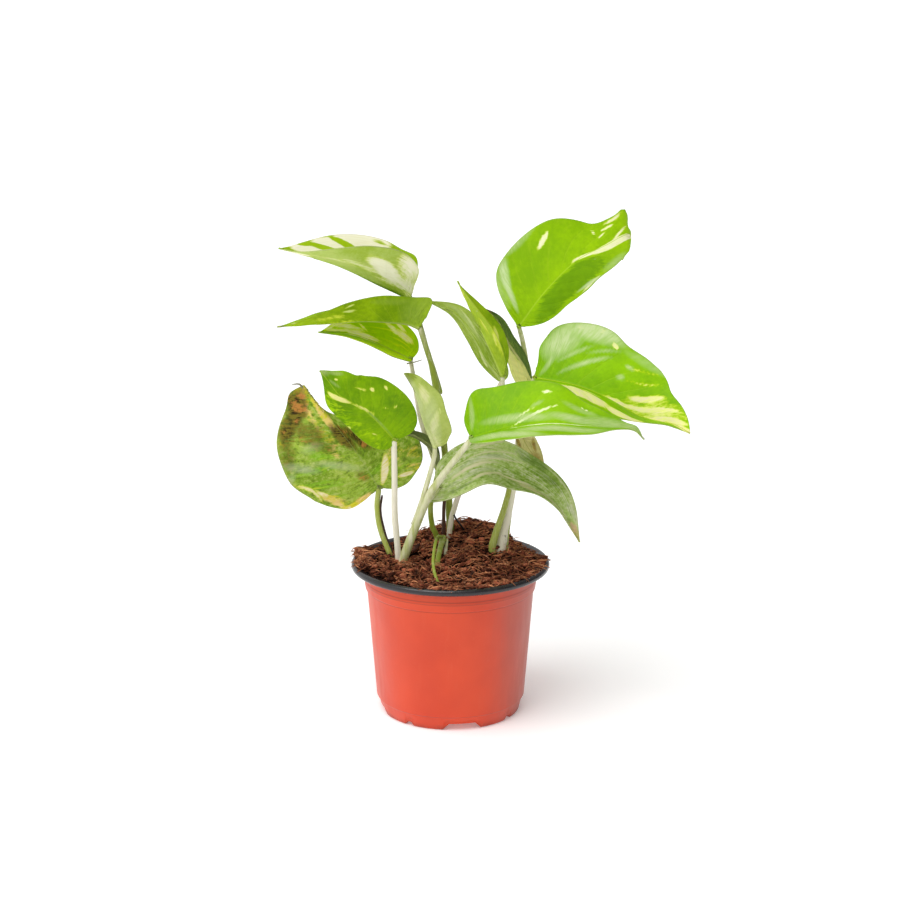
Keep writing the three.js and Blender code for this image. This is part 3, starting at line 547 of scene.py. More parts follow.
centreWideLeaf = {
    "node": "blade_centre_wide", "slot": "leaf_green",
    "midrib": [(12, -30, 177), (32, -34, 184), (56, -38, 188), (79, -40, 187), (102, -40, 187), (112, -38, 178)],
    "face": (0, 0, 1), "width": (28, 24), "fold": (52, -5), "heart": (0.4, 0.2), "full": (0.7, 1), "fullTip": (1, 1),
    "top": ((118, 172, 0), (146, 198, 0)), "under": ((166, 190, 100), (186, 206, 126)), "seed": 12, "flecks": 0.004,
    "pale": (190, 210, 140), "rib": (168, 204, 40), "ribShare": 0.3, "cream": (236, 246, 196), "halo": (190, 222, 80),
    "edge": (150, 172, 90), "yellowAndShade": (176, 180, 150), "yellowAndShadeToo": (160, 168, 140),
    "tugs": [((78, -27, 203), (-0.6, 0, -4.3), 11), ((94, -33, 197), (-0.6, 0, -4.9), 11),
        ((104, -35, 192), (-1.2, 0, -3.7), 7), ((16, -16, 197), (-2.4, 0, 4.3), 9)],
    "creamMarks": [(0.36, 5.8, 17, 0.8, 24, 1.5), (0.31, 7.4, 8, 0.6, 30, 1), (0.43, 20, 2.4, 1.1, 11, 1.6),
        (0.62, 14.1, 1, 1, -50, 1.4), (0.65, 12.4, 1.1, 1, -24, 1.4), (0.45, -2.2, 29, 0.9, 4, 1.2),
        (0.55, -9, 16, 0.8, 0, 0.7)],
    "paleMarks": [(0.2, -13, 30, 6.5, -20, 1.3), (0.5, -10, 30, 6, 0, 1.1), (0.27, 5, 24, 3.4, -5, 1),
        (0.6, 3.6, 22, 3.4, -5, 1), (0.78, 2, 18, 8, -8, 0.9), (0.03, 13, 10, 2, -103, 0.8),
        (0.62, 11.5, 14, 3, -15, 0.6), (0.38, 12.5, 5, 1.3, 28, 0.7), (0.9, 2, 14, 9, 0, 0.9)],
    "yellowAndShadeMarks": [(1.02, 0, 8, 4, 0, 1.2)],
}
makeLeaf("leafCentreWide", centreWideLeaf)
rightLeaf = {
    "node": "blade_right", "slot": "leaf_green",
    "midrib": [(50, 14, 203), (73, 8, 200), (92, 2, 194), (112, -4, 184), (131, -10, 180), (141, -16, 176)],
    "face": (0, 0, 1), "width": (39, 31), "fold": (65, 0), "foldTip": (65, 8), "full": (0.75, 1), "heart": (0.4, 0),
    "top": ((122, 176, 0), (146, 200, 0)), "under": ((150, 172, 70), (176, 196, 100)), "seed": 10, "flecks": 0.004,
    "cream": (240, 230, 176), "creamToo": (238, 240, 140), "halo": (192, 218, 10), "pale": (200, 218, 156),
    "edge": (130, 152, 74), "rib": (190, 206, 50), "fleck": (222, 234, 150),
    "tugs": [((50, 18, 213), (2.4, 0, 0), 8), ((56, 24, 226), (1.8, 0, 0), 8),
        ((111, 12, 224), (-3.6, 0, -1.8), 12), ((123, 4, 206), (2.4, 0, 0), 6), ((124, 2, 201), (3, 0, 0), 7),
        ((94, -25, 199), (0, 0, -4.6), 12)],
    "creamMarks": [(0.32, -14, 20, 10, -4, 2), (0.6, -17, 16, 5, -6, 1.6), (0.54, 1, 13, 1.4, 4, 1.2),
        (0.68, 10.4, 14, 2.4, 20, 1.4), (0.71, 4.5, 18, 1.8, 12, 1.4), (0.81, 7.6, 12, 1.2, 6, 1.1),
        (0.84, 1.6, 14, 2.4, 10, 1.6), (0.39, 31.6, 2.4, 1.9, -5, 2), (0.3, 36, 2, 1, 53, 1.6),
        (0.2, 35.1, 1.4, 1, -12, 1.6), (0.95, 0, 10, 2.4, 0, 1.2), (0.76, 4, 24, 9, 8, 0.5),
        (0.62, 18, 16, 0.8, 16, 0.5), (0.55, 24, 12, 0.7, 10, 0.45)],
    "greenMarks": [(0.45, -9, 18, 1.3, -10, 1.2), (0.6, -12, 14, 1.2, -6, 1)],
    "paleMarks": [(0.11, 24, 17, 10, 47, 1.2), (0.27, 35, 20, 8, 7, 1.2), (0.26, 14.2, 18, 1.6, 37, 1),
        (0.2, 19, 12, 1.4, 42, 0.9), (0.08, 13, 14, 2.4, 64, 0.9), (0.49, 23, 2.6, 1.8, 2, 0.8),
        (0.47, 14.7, 2.6, 2, 49, 0.8), (0.6, 30, 18, 4, -10, 0.5), (0.35, 26, 12, 1.2, 30, 0.6)],
}
makeLeaf("leafRight", rightLeaf)
upperRightLeaf = {
    "node": "blade_upper_right", "slot": "leaf_green", "face": (0, -1, 0.3), "faceTip": (1, 0, 0.3),
    "width": (32, 19), "fold": (5, -5), "curl": (0, -30), "heart": (0, 0), "full": (0.8, 1.2), "fullTip": (1.8, 1.1),
    "top": ((130, 178, 0), (158, 204, 0)), "under": ((166, 190, 96), (186, 206, 126)), "seed": 1, "flecks": 0.003,
    "cream": (246, 244, 206), "creamToo": (234, 240, 160), "halo": (192, 218, 40), "pale": (206, 226, 164),
    # its yellow tones are a deeper green: painted shade for the lower half
    "rib": (176, 212, 50), "ribWide": 0.9, "edge": (118, 146, 50), "yellowAndShade": (112, 160, 0),
    "yellowAndShadeToo": (120, 168, 0), "yellowAndShadeUnder": 0,
    "midrib": [(41, 20, 233), (57, 18, 255), (74, 16, 273), (91, 18, 282), (105, 24, 288), (108, 36, 282),
        (104, 46, 269)],
    "tugs": [((85, 21, 301), (0, 0, -5.5), 11), ((72, 20, 302), (0, 0, -3.1), 12),
        ((102, 27, 300), (0.4, 0, 4), 4), ((108, 34, 293), (-2.4, 0, -1.2), 5), ((31, 21, 264), (-3.6, 0, 1.2), 16),
        ((71, 21, 244), (0, 0, 2.5), 10)],
    "creamMarks": [(0.5, -0.3, 12, 1.1, -8, 1.5), (0.66, -1.3, 18, 2.4, 0, 2.2), (0.69, 2.3, 8, 0.9, 22, 1.1),
        (0.39, 22, 6.5, 1.6, 25, 1.6), (0.59, 13, 3, 0.8, -102, 1.2), (0.62, 8.1, 4.4, 0.7, 24, 1.2),
        (0.66, 11, 5, 0.9, -10, 1.3), (0.7, 13, 5, 1.2, -20, 1.1), (0.46, -6.1, 2.4, 0.8, -7, 1.2),
        (0.52, -4.6, 2.6, 0.6, -2, 1.1), (0.42, -16.8, 15, 0.7, 7, 1.4)],
    "paleMarks": [(0.17, 22, 12, 3, -131, 1.3), (0.12, 15, 14, 2, -128, 1.2), (0.31, 31, 12, 3, 4, 0.6),
        (0.43, -16, 15, 1.4, -2, 1), (0.62, -12, 10, 3.4, 10, 0.4), (0.1, 24, 18, 9, -128, 0.5)],
    # painted shade: this mark darkens the lower half
    "yellowAndShadeMarks": [(0.32, -8, 36, 9, 0, 1.5)],
}
makeLeaf("leafUpperRight", upperRightLeaf)
droopingLeaf = {
    "node": "blade_drooping", "slot": "leaf_grey_green",
    "midrib": [(-6, -14, 143), (19, -16, 153), (38, -20, 148), (59, -26, 138), (76, -32, 114)], "face": (0, 0, 1),
    "width": (20.5, 11), "fold": (60, -60), "foldTip": (60, 40), "heart": (0.3, 1), "full": (0.8, 1),
    "top": ((126, 154, 52), (172, 194, 108)), "under": ((140, 160, 90), (170, 184, 120)), "seed": 7, "flecks": 0.01,
    "cream": (220, 208, 176), "creamToo": (206, 204, 160), "halo": (184, 192, 136), "streaks": 0.56,
    "lengthwise": True, "vein": (196, 202, 146), "rough": 0.42, "dry": (70, 88, 30), "dryPale": (104, 132, 56),
    "dryWarm": (90, 116, 44), "yellowAndShade": (196, 170, 128), "yellowAndShadeToo": (168, 170, 90),
    "mosaic": ((222, 214, 196), (84, 118, 34), (206, 210, 164)), "edge": (140, 154, 92), "ribShare": 0.15,
    "pale": (196, 194, 176),
    "creamMarks": [(0.21, 4.2, 18, 1.4, 9, 1), (0.28, -2.2, 16, 1.6, 16, 0.9), (0.29, 16.9, 8, 0.8, 29, 1),
        (0.57, -2.2, 9, 3, -6, 1.5), (0.7, -1, 16, 1.4, 4, 1.1), (0.46, 0.4, 13, 1, 5, 1.1),
        (0.35, 9, 22, 0.8, 14, 0.8), (0.3, 12, 18, 0.7, 16, 0.8)],
    "greenMarks": [(0.57, 6.8, 10, 2.6, 15, 0.9)],
    "dryMarks": [(0.5, 15.6, 18, 4, -10, 0.6), (0.62, 10, 14, 4, -10, 0.45), (0.1, -6, 16, 2, 0, 0.5)],
    "yellowAndShadeMarks": [(0.93, 0.8, 9, 3, -7, 1)],
    "paleMarks": [(0.25, 8, 26, 2, 14, 0.5), (0.2, 0, 20, 2, 8, 0.5), (0.85, 6, 12, 2, 0, 0.5)],
}
makeLeaf("leafDrooping", droopingLeaf)
darkArchedLeaf = {
    "node": "blade_dark_arched", "slot": "leaf_dark",
    "midrib": [(-7, 2, 149), (-11, 1, 161), (-20, 0, 169), (-31, -2, 173)], "face": (0.3, 0, 1), "width": (7, 11),
    "fold": (20, 20), "heart": (0, 0), "top": ((66, 78, 34), (96, 108, 54)), "under": ((88, 98, 50), (120, 128, 76)),
    "seed": 14, "flecks": 0, "rib": (150, 156, 106), "vein": (122, 132, 82), "cream": (170, 170, 124),
    "halo": (130, 138, 84),
    "creamMarks": [(0.55, -1, 12, 1, 0, 1)],
}
makeLeaf("leafDarkArched", darkArchedLeaf)
witheredLeaf = {
    "node": "blade_withered", "slot": "leaf_withered",
    "midrib": [(42, 8, 172), (45, 8, 164), (50, 7, 156), (56, 5, 147)], "face": (0.3, -1, 0.3), "width": (7, 7),
    "fold": (25, 25), "heart": (0, 0), "full": (0.7, 0.7), "top": ((186, 178, 120), (206, 196, 140)),
    "under": ((150, 136, 66), (196, 184, 126)), "seed": 15, "flecks": 0, "dry": (116, 82, 40),
    "dryPale": (176, 158, 84), "dryWarm": (146, 98, 52), "rough": 0.6, "rib": (150, 150, 70), "lengthwise": True,
    "edge": (120, 112, 50), "streaks": 0.6, "halo": (150, 150, 60),
    "dryMarks": [(0.2, -5, 5, 1.6, 0, 1), (0.41, 4.1, 6, 1.6, -17, 1), (0.75, 0, 9, 5, 0, 0.7)],
}
makeLeaf("leafWithered", witheredLeaf)
print("leaves made")

stalkForm = {"sides": 18, "step": 1.6, "groove": 0.16, "grooveWide": 0.45, "lumps": 0.06, "knotWide": 1.6,
             "blunt": 0.75}


def stalk(through, radius, tone, dry=0, knots=()):  # radius and tone at both ends, knots by share, size and stain
    return {"through": through, "radius": radius, "tone": tone, "dry": dry, "knots": knots}


def addStalk(bm, layers, given):
    form, path = stalkForm, smoothPath(given["through"])
    steps = max(6, round(path["length"] / mm / form["step"]))
    first, last = [value * mm for value in given["radius"]]
    side = Vector((0.3, -1, 0.2))
    ring, edges = newRing(bm, form["sides"])
    for number, vert in enumerate(ring):
        vert[layers["turn"]] = number
    for step in range(steps + 1):
        if step:
            ring, edges = extruded(bm, edges)
        share = step / steps
        place, head = onPath(path, share)
        side = (side - head * side.dot(head)).normalized()
        other = head.cross(side)
        radius = first + (last - first) * share
        dry = given["dry"]
        for knot, size, stain in given["knots"]:  # swollen, browned rings where leaves stood
            near = math.exp(-((share - knot) * path["length"] / (form["knotWide"] * mm)) ** 2)
            radius *= 1 + size * near
            dry += stain * near
        if step == steps:
            radius *= form["blunt"]
        for vert in ring:
            angle = 2 * math.pi * vert[layers["turn"]] / form["sides"]
            uneven = 1 + form["lumps"] * noise.noise(place * 160 + Vector((math.cos(angle), math.sin(angle), 0)))
            dip = 1 - form["groove"] * math.exp(-((angle - math.pi / 2) / form["grooveWide"]) ** 2)
            away = radius * uneven * dip
            vert.co = place + side * (math.cos(angle) * away) + other * (math.sin(angle) * away)
            vert[layers["tone"]] = given["tone"][0] + (given["tone"][1] - given["tone"][0]) * share
            vert[layers["dry"]] = dry
    bmesh.ops.contextual_create(bm, geom=edges)


def makeStalks(name, nodes, material, stalks):
    bm = bmesh.new()
    layers = newLayers(bm, "turn", "tone", "dry")
    for given in stalks:
        addStalk(bm, layers, given)
    bmesh.ops.recalc_face_normals(bm, faces=bm.faces)
    finishPiece(name, bm, [material], nodes)


def stalkMaterial(name, look):
    material, shader, where = newMaterial(name, {"Specular IOR Level": 0.3})
    fibres = noiseOf(stretched(where, (1, 1, 0.07)), 1100, 3, 0.6)
    bands = noiseOf(stretched(where, (1, 1, 0.12)), 420, 2, 0.5)
    cloud = noiseOf(where, 60, 3, 0.55)
    tone = swayed(attributeOf("tone"), (cloud, 0.5), (bands, 0.7))
    green = painted(tint(look["green"]), swayed(0, (bands, 0.3)), look["deep"])
    colour = painted(green, ramped(tone, 0.15, 0.85), look["cream"])
    colour = painted(colour, times(ramped(fibres, 0.45, 0.7), 0.3), look["fibre"])
    colour = painted(colour, ramped(swayed(attributeOf("dry"), (fibres, 1.2)), 0.35, 0.6), look["dry"])
    dress(shader, colour, fibres, 0.4, 0.4, ramped(cloud, 0.3, 0.7, 0.38, 0.52))
    return material


stalkPale = stalkMaterial("stalkPale", {
    "green": (160, 170, 74), "cream": (232, 226, 204), "fibre": (206, 212, 166), "deep": (112, 124, 26),
    "dry": (60, 38, 26)})
stalkOlive = stalkMaterial("stalkOlive", {
    "green": (136, 152, 46), "cream": (226, 216, 196), "fibre": (172, 182, 96), "deep": (96, 108, 22),
    "dry": (74, 44, 28)})
tipGrey = {"green": (128, 126, 96), "cream": (176, 176, 150), "fibre": (150, 148, 120), "deep": (96, 90, 70),
           "dry": (74, 62, 48)}
rootTone = {"green": (46, 32, 28), "cream": (80, 60, 50), "fibre": (62, 46, 40), "deep": (40, 28, 26),
            "dry": (34, 22, 20)}
leftStalks = [
    stalk([(-32, -9, 78), (-31, -12, 95), (-33, -16, 126), (-33, -20, 149), (-33, -24, 174)], (2, 1.8),
          (0.8, 1)),
    stalk([(-33, -9, 78), (-35, -6, 94), (-42, -3, 113), (-44, -1, 126), (-43, 0, 138)], (1.9, 1.7), (0, 0.05)),
    stalk([(-34, -9, 78), (-34, -6, 96), (-39, -4, 110), (-42, -2, 124), (-41, -1, 134)], (0.8, 0.7),
          (0.2, 0.1), dry=0.9),
    stalk([(-32, -9, 78), (-29, -12, 95), (-15, -20, 134), (-7, -24, 149), (12, -30, 176)], (3.2, 1.7),
          (0.34, 0.55), knots=[(0.16, 0.3, 0.15), (0.1, 0.1, 0)]),
    stalk([(-22, -15, 120), (-17, -18, 135), (-10, -22, 161), (-9, -24, 170)], (1.6, 1.4), (0.6, 0.5)),
    stalk([(-18, -17, 129), (-11, -16, 137), (-6, -14, 143)], (1.5, 1.3), (0.5, 0.4)),
]
makeStalks("stalksLeft", ["stalks_left"], stalkPale, leftStalks)
centreStalks = [
    stalk([(-3, 12, 79), (0, 18, 99), (-1, 16, 126), (-4, 12, 164), (-9, 7, 203), (-18, 2, 236)], (2.6, 1.6),
          (0.1, 0.4)),
    stalk([(-17, 3, 231), (-12, 5, 215), (-8, 7, 196)], (0.8, 2.4), (0, 0)),
    stalk([(-24, 12, 252), (-19, 10, 239), (-14, 8, 221), (-10, 9, 208), (-6, 10, 194)], (1.5, 1.8),
          (0.4, 0.2)),
    stalk([(-24, 16, 214), (-22, 17, 201), (-18, 18, 176), (-11, 18, 154), (-4, 16, 135)], (1.3, 1.8),
          (0.7, 0.4)),
    stalk([(-4, 12, 79), (-8, 8, 104), (-11, 6, 113), (-12, 3, 125), (-10, 2, 137), (-7, 2, 149)], (2, 1.4),
          (0, 0.2)),
    stalk([(-3, 12, 79), (0, 10, 112), (3, 9, 125), (7, 8, 138), (17, 9, 172), (31, 11, 202)], (1.8, 1.4),
          (0.6, 1.1)),
    stalk([(-3, 12, 79), (-4, 12, 105), (-4, 12, 122), (-3, 12, 134)], (1.4, 1), (0.2, 0.2), dry=0.8),
]
makeStalks("stalksCentre", ["stalks_centre"], stalkOlive, centreStalks)
rightStalks = [
    stalk([(29, 2, 78), (29.5, 2, 97), (35, 5, 126), (40, 10, 153), (45, 16, 183), (47, 20, 197)], (3.6, 2.6),
          (0.95, 0.8), knots=[(0.18, 0.3, 0), (0.22, 0.2, 0.2), (0.25, 0.1, 0.36), (0.5, 0.04, 0.2)]),
    stalk([(46, 16, 173), (48, 22, 187), (49, 24, 196)], (1.6, 1.3), (0.5, 0.4)),
    stalk([(46, 16, 181), (47, 26, 191), (46.5, 34.5, 204), (44, 31, 220), (41, 20, 233)], (1.8, 1.4),
          (0.3, 0.4)),
    stalk([(44, 12, 165), (49, 14, 189), (50, 14, 203)], (2, 1.5), (0.5, 0.4)),
    stalk([(37, 7, 135), (33, 7, 150), (30, 5, 172), (31, 3, 190), (31, 2, 207)], (2, 1.3), (0.6, 0.6)),
    stalk([(27, -1, 78), (25, -2, 98), (27, -2, 109), (32, 0, 124), (36, 5, 138)], (2.8, 1.6), (-0.2, 0)),
    stalk([(33, 2, 78), (34, 2, 96), (34, 3, 104), (37, 6, 128)], (1.4, 1.2), (0, 0.5)),
    stalk([(41, 10, 158), (42, 9, 166), (42, 8, 172)], (1.6, 1.3), (0.4, 0.4)),
]
makeStalks("stalksRight", ["stalks_right"], stalkPale, rightStalks)
shootPieces = [
    stalk([(-9, -22, 84), (-8, -20, 96), (-6, -8, 103), (-4, 2, 107)], (1.4, 2), (0.1, 0.3),
          knots=[(0.9, 0.1, 0.5), (0.3, 0, 0.3)]),
    stalk([(-3, -8, 88), (-3, -6, 98), (-2, 1, 106)], (1.5, 0.9), (0.6, 0.5)),
    stalk([(-4, 2, 107), (-8, -10, 110), (-10, -26, 104), (-10, -34, 99), (-8, -42, 94), (-4, -49, 88)],
          (1, 0.9), (0, 0.2), dry=0.2, knots=[(0.02, 0.1, 0.5), (0.25, 0, 0.3)]),
]
makeStalks("strapShoots", ["shoots"], stalkOlive, shootPieces)
tipPieces = [
    stalk([(-87, 1, 198.5), (-89.5, 0.5, 202), (-94, 0, 202)], (0.8, 0.3), (0, 0), dry=0.3),
    stalk([(-26, 14, 211.5), (-21, 12, 213), (-17, 11, 214.5)], (0.5, 0.25), (0.3, 0.3)),
]
makeStalks("dryTips", [], stalkMaterial("tipGrey", tipGrey), tipPieces)
rootPieces = [
    stalk([(2, 8, 119), (4, 10, 115), (8, 14, 108), (12, 16, 98)], (0.6, 0.7), (0, 0), dry=1),
]
makeStalks("rootDark", ["root_dark"], stalkMaterial("rootDark", rootTone), rootPieces)
print("stalks made")

potForm = {
    "rimRadius": 60, "rimHeight": 91, "rollRadius": 2, "collarTop": 88.2, "collarRadius": 52.9, "stepHeight": 76.5,
    "stepDepth": 1.1, "lineHeight": 82, "wallTopRadius": 50.6, "footHeight": 8, "wallFootRadius": 45.2,
    "footTopRadius": 43.9, "footRadius": 42.3, "wall": 1.2, "floorLift": 4, "bossRadius": 13, "segments": 192,
}
notchForm = {  # wide and small ones in turn: width below and above, height
    "count": 4, "firstAngle": -80.5, "wide": (24, 16, 4), "small": (7, 3, 2.4),
    "inner": -5, "outer": 8, "under": -1, "flare": 0.8,  # mm, reach of the cutter past the foot's edge and floor
}
drainForm = {"count": 6, "radius": 4, "ring": 29, "sides": 32}


def potOutline():  # radius and height in mm, from under the middle out, up and back inside; small steps round corners
    p = potForm
    low, top, foot, footTop = p["collarRadius"], p["wallTopRadius"], p["footRadius"], p["footTopRadius"]
    collar, step, rim, line = p["collarTop"], p["stepHeight"], p["rimHeight"], p["lineHeight"]
    wall, boss, lift, footHeight = p["wall"], p["bossRadius"], p["floorLift"], p["footHeight"]
    ledge, wallFoot = top + p["stepDepth"], p["wallFootRadius"]
    lineRadius = ledge + (low - ledge) / (collar - step - 0.8) * (line - step - 0.8)
    roll = [(p["rimRadius"] - p["rollRadius"] + p["rollRadius"] * math.cos(math.radians(turn)),
             rim + p["rollRadius"] * math.sin(math.radians(turn))) for turn in range(-90, 91, 15)]
    return [
        (0, 0), (boss, 0), (boss + 3, lift), (foot - 3.6, lift), (foot - 2.2, 0.2), (foot - 1.9, 0), (foot - 0.3, 0),
        (foot, 0.4), (footTop, footHeight - 0.4), (footTop + 0.3, footHeight), (wallFoot - 0.3, footHeight + 0.6),
        (wallFoot, footHeight + 1.2), (top, step - 0.4), (top + 0.2, step), (ledge - 0.2, step + 0.5),
        (ledge, step + 1),
        (lineRadius - 0.05, line - 0.7), (lineRadius + 0.25, line), (lineRadius + 0.1, line + 0.7),
        (low - 0.1, collar - 0.6), (low + 0.3, collar), *roll, (low + 2.2, rim + 1.2), (low + 1.2, rim + 0.2),
        (low - 1, collar + 0.3), (top - wall + 0.6, step), (footTop - wall - 0.5, lift + wall),
        (boss + 3 - wall, lift + wall), (boss - wall, wall), (0, wall),
    ]


def potMaterial(name, look):
    material, shader, where = newMaterial(name, {"Coat Weight": look["coat"], "Coat Roughness": 0.2,
                                                 "Specular IOR Level": 0.42})
    cloud = noiseOf(where, 22, 3, 0.5)
    sheenStreaks = noiseOf(stretched(where, (1, 1, 0.16)), 140, 4, 0.6)
    dust = noiseOf(where, 620, 4, 0.65)
    east, _, height = stepsOf(where)
    level = swayed(height, (cloud, 0.004))
    colour = painted(tint(look["deep"]), ramped(cloud, 0.3, 0.7), look["bright"])
    if "paintedEastShade" in look:  # painted shade: the east side is darker and greyer
        colour = painted(colour, ramped(swayed(east, (sheenStreaks, 0.02)), 0.016, 0.048, 0, 0.5), look["paintedEastShade"])
    for low, high in look.get("darkBands", ()):  # painted shadow under the rim, and darker towards the bottom of the foot
        darkening = times(ramped(level, low * mm, high * mm), ramped(sheenStreaks, 0.3, 0.7, 0.3, 0.8))
        colour = painted(colour, darkening, look["darkening"])
    for line in look.get("lines", ()):  # painted shade: dark lines in the creases round the wall
        crease = ramped(calc("ABSOLUTE", calc("SUBTRACT", height, line * mm)), 0.5 * mm, 0.1 * mm, 0, 0.5)
        colour = painted(colour, crease, look["darkening"])
    # painted sheen in lighter vertical streaks, then fine lighter specks of dust
    colour = painted(colour, times(ramped(sheenStreaks, 0.55, 0.8), 0.14), look["sheenAndDust"])
    colour = painted(colour, times(ramped(dust, 0.62, 0.72), 0.12), look["sheenAndDust"])
    relief = calc("ADD", times(noiseOf(where, 260, 2, 0.5), 0.6), times(dust, 0.15))
    dress(shader, colour, relief, 0.14, 0.6, ramped(sheenStreaks, 0.35, 0.7, look["rough"], look["rough"] + 0.12))
    return material


def wedge(angle, low, high, height):  # a cutter that runs out through the foot
    bm, form = bmesh.new(), notchForm
    bmesh.ops.create_cube(bm, size=1)
    for vert in bm.verts:
        isLow = vert.co.z < 0
        width = low + form["flare"] if isLow else high
        vert.co = Vector((potForm["footRadius"] + form["inner" if vert.co.x < 0 else "outer"],
                          (0.5 if vert.co.y > 0 else -0.5) * width, form["under"] if isLow else height)) * mm
    bmesh.ops.rotate(bm, verts=bm.verts, matrix=Matrix.Rotation(angle, 3, "Z"))
    bmesh.ops.recalc_face_normals(bm, faces=bm.faces)
    return bm


def cutAway(piece, cutters):
    joined = bmesh.new()
    scratch = bpy.data.meshes.new("cutters")
    for cutter in cutters:
        cutter.to_mesh(scratch)
        joined.from_mesh(scratch)
        cutter.free()
    joined.to_mesh(scratch)
    joined.free()
    tool = addObject("cutters", scratch)
    cut = piece.modifiers.new("cut", "BOOLEAN")
    cut.operation, cut.solver, cut.object = "DIFFERENCE", "EXACT", tool
    bpy.context.view_layer.update()
    result = bpy.data.meshes.new_from_object(piece.evaluated_get(bpy.context.evaluated_depsgraph_get()))
    piece.modifiers.clear()
    piece.data = result
    bpy.data.objects.remove(tool)


bm = bmesh.new()
spun(bm, potOutline(), potForm["segments"])
bmesh.ops.recalc_face_normals(bm, faces=bm.faces)
for face in bm.faces:  # dark inside and on the rim, terracotta outside
    centre = face.calc_center_median() / mm
    radius = math.hypot(centre.x, centre.y)
    isInside = face.normal.x * centre.x + face.normal.y * centre.y < 0 and centre.z > potForm["floorLift"] + 0.6
    isRim = centre.z > potForm["collarTop"] + 0.1
    isFloor = radius < potForm["footRadius"] - 1.5 and centre.z < potForm["floorLift"] + 2
    face.material_index = 1 if isInside or isRim or (isFloor and face.normal.z > 0) else 0
# terracotta: painted shadow under the rim, painted shade in the creases and on the east side, painted sheen in lighter
# streaks
terracotta = potMaterial("terracottaPlastic", {
    "deep": (206, 62, 26), "bright": (220, 72, 32), "sheenAndDust": (226, 112, 78), "darkening": (140, 46, 28),
    "darkBands": [(4, -1), (84, 90)], "rough": 0.33, "coat": 0, "lines": (8.4, 76.2, 81.3, 83), "paintedEastShade": (150, 92, 84)})
# the grey streaks on the dark plastic are painted sheen as well
darkPlastic = potMaterial("darkPlastic", {
    "deep": (17, 15, 18), "bright": (28, 26, 30), "sheenAndDust": (110, 106, 108), "rough": 0.24, "coat": 0.3})
potPiece = finishPiece("potShell", bm, [terracotta, darkPlastic], ["pot"])
cutters = []
firstAngle = math.radians(notchForm["firstAngle"])
for number in range(notchForm["count"]):
    wideAngle = firstAngle + number * 2 * math.pi / notchForm["count"]
    cutters.append(wedge(wideAngle, *notchForm["wide"]))
    cutters.append(wedge(wideAngle + math.pi / notchForm["count"], *notchForm["small"]))
for number in range(drainForm["count"]):
    angle = firstAngle + (number + 0.5) * 2 * math.pi / drainForm["count"]
    drain = bmesh.new()
    bmesh.ops.create_cone(drain, cap_ends=True, segments=drainForm["sides"], radius1=drainForm["radius"] * mm,
                          radius2=drainForm["radius"] * mm, depth=4 * potForm["wall"] * mm)
    middle = Vector((math.cos(angle) * drainForm["ring"], math.sin(angle) * drainForm["ring"],
                     potForm["floorLift"] + potForm["wall"] / 2))
    bmesh.ops.translate(drain, verts=drain.verts, vec=middle * mm)
    cutters.append(drain)
cutAway(potPiece, cutters)
print("pot made")

soilForm = {
    "edgeHeight": 91, "radius": 53.2, "neckRadius": 51.4, "neckHeight": 88.2, "lump": 1.5, "crumble": 2.6,
    "rings": 96, "sectors": 220, "footRadius": 41.9, "floorHeight": 5.5, "bodyRadius": 49.3,
    "ledgeRadius": 49, "ledgeHeight": 88.8,
}
soilMounds = [  # x, y, rise and spread
    (13, 24, 16.5, 25), (-40, 4, 7, 16), (4, -22, 3.5, 20), (44, 26, -8, 12), (-42, 30, -7, 12), (22, -12, -3, 6),
    (-14, -14, -3, 7), (-4, -2, -3, 6),
]
soilSpills = [  # middle and half size
    (Vector((-51, 5, 93.4)), Vector((7, 11, 3))), (Vector((-50, -12, 93)), Vector((6, 8, 2.4))),
]


def soilHeight(x, y):
    height = soilForm["edgeHeight"]
    for moundX, moundY, rise, spread in soilMounds:
        height += rise * math.exp(-((x - moundX) ** 2 + (y - moundY) ** 2) / (2 * spread ** 2))
    away = math.hypot(x, y)
    lumps = math.sin(0.62 * x + 1.3) * math.cos(0.55 * y) + 0.7 * math.sin(0.41 * x - 0.83 * y + 2)
    height += soilForm["lump"] * lumps * (1 - min(away / soilForm["radius"], 1) ** 6)
    return max(height, soilForm["ledgeHeight"]) if away > soilForm["ledgeRadius"] else height


def crumble(place):  # rise of the loose surface over the smooth one, in mm
    rough = noise.turbulence(place * 0.16, 4, False) - 0.45
    grit, small, clods = [noise.voronoi(place * scale)[0][0] for scale in (0.3, 0.75, 0.11)]
    return soilForm["crumble"] * (1.1 * rough + (0.32 - grit) + 0.45 * (0.35 - small) + 0.8 * (0.4 - clods))


def soilMaterial(name, dark, mid, warm, light):
    material, shader, where = newMaterial(name, {"Roughness": 0.95, "Specular IOR Level": 0.12})
    grain = noiseOf(where, 620, 5, 0.72)
    strands = noiseOf(stretched(where, (1, 0.25, 1)), 900, 3, 0.6)
    colour = painted(tint(dark), ramped(grain, 0.34, 0.62), mid)
    colour = painted(colour, ramped(noiseOf(where, 120, 3, 0.6), 0.42, 0.66), warm)
    colour = painted(colour, times(ramped(strands, 0.55, 0.7), 0.6), light)
    colour = painted(colour, ramped(noiseOf(where, 62, 2, 0.5), 0.5, 0.36, 0, 0.65), dark)
    # painted shade in the soil's hollows, and a random darker tone on crumbs, chips and fibres
    colour = painted(colour, ramped(attributeOf("toneAndShade"), 0.25, 1), dark)
    dress(shader, colour, grain, 0.8, 1)
    return material


def soilMesh():
    bm = bmesh.new()
    return bm, newLayers(bm, "toneAndShade")["toneAndShade"]


soilLook = soilMaterial("soilCrumbly", (26, 8, 5), (98, 50, 34), (134, 72, 48), (196, 130, 94))
crumbLook = soilMaterial("coirCrumbs", (36, 12, 8), (136, 72, 50), (182, 104, 74), (236, 170, 130))
fibreLook = soilMaterial("coirFibres", (90, 44, 30), (196, 124, 84), (224, 150, 106), (250, 206, 166))
barkLook = soilMaterial("barkChips", (26, 12, 10), (70, 42, 34), (90, 56, 44), (130, 92, 76))

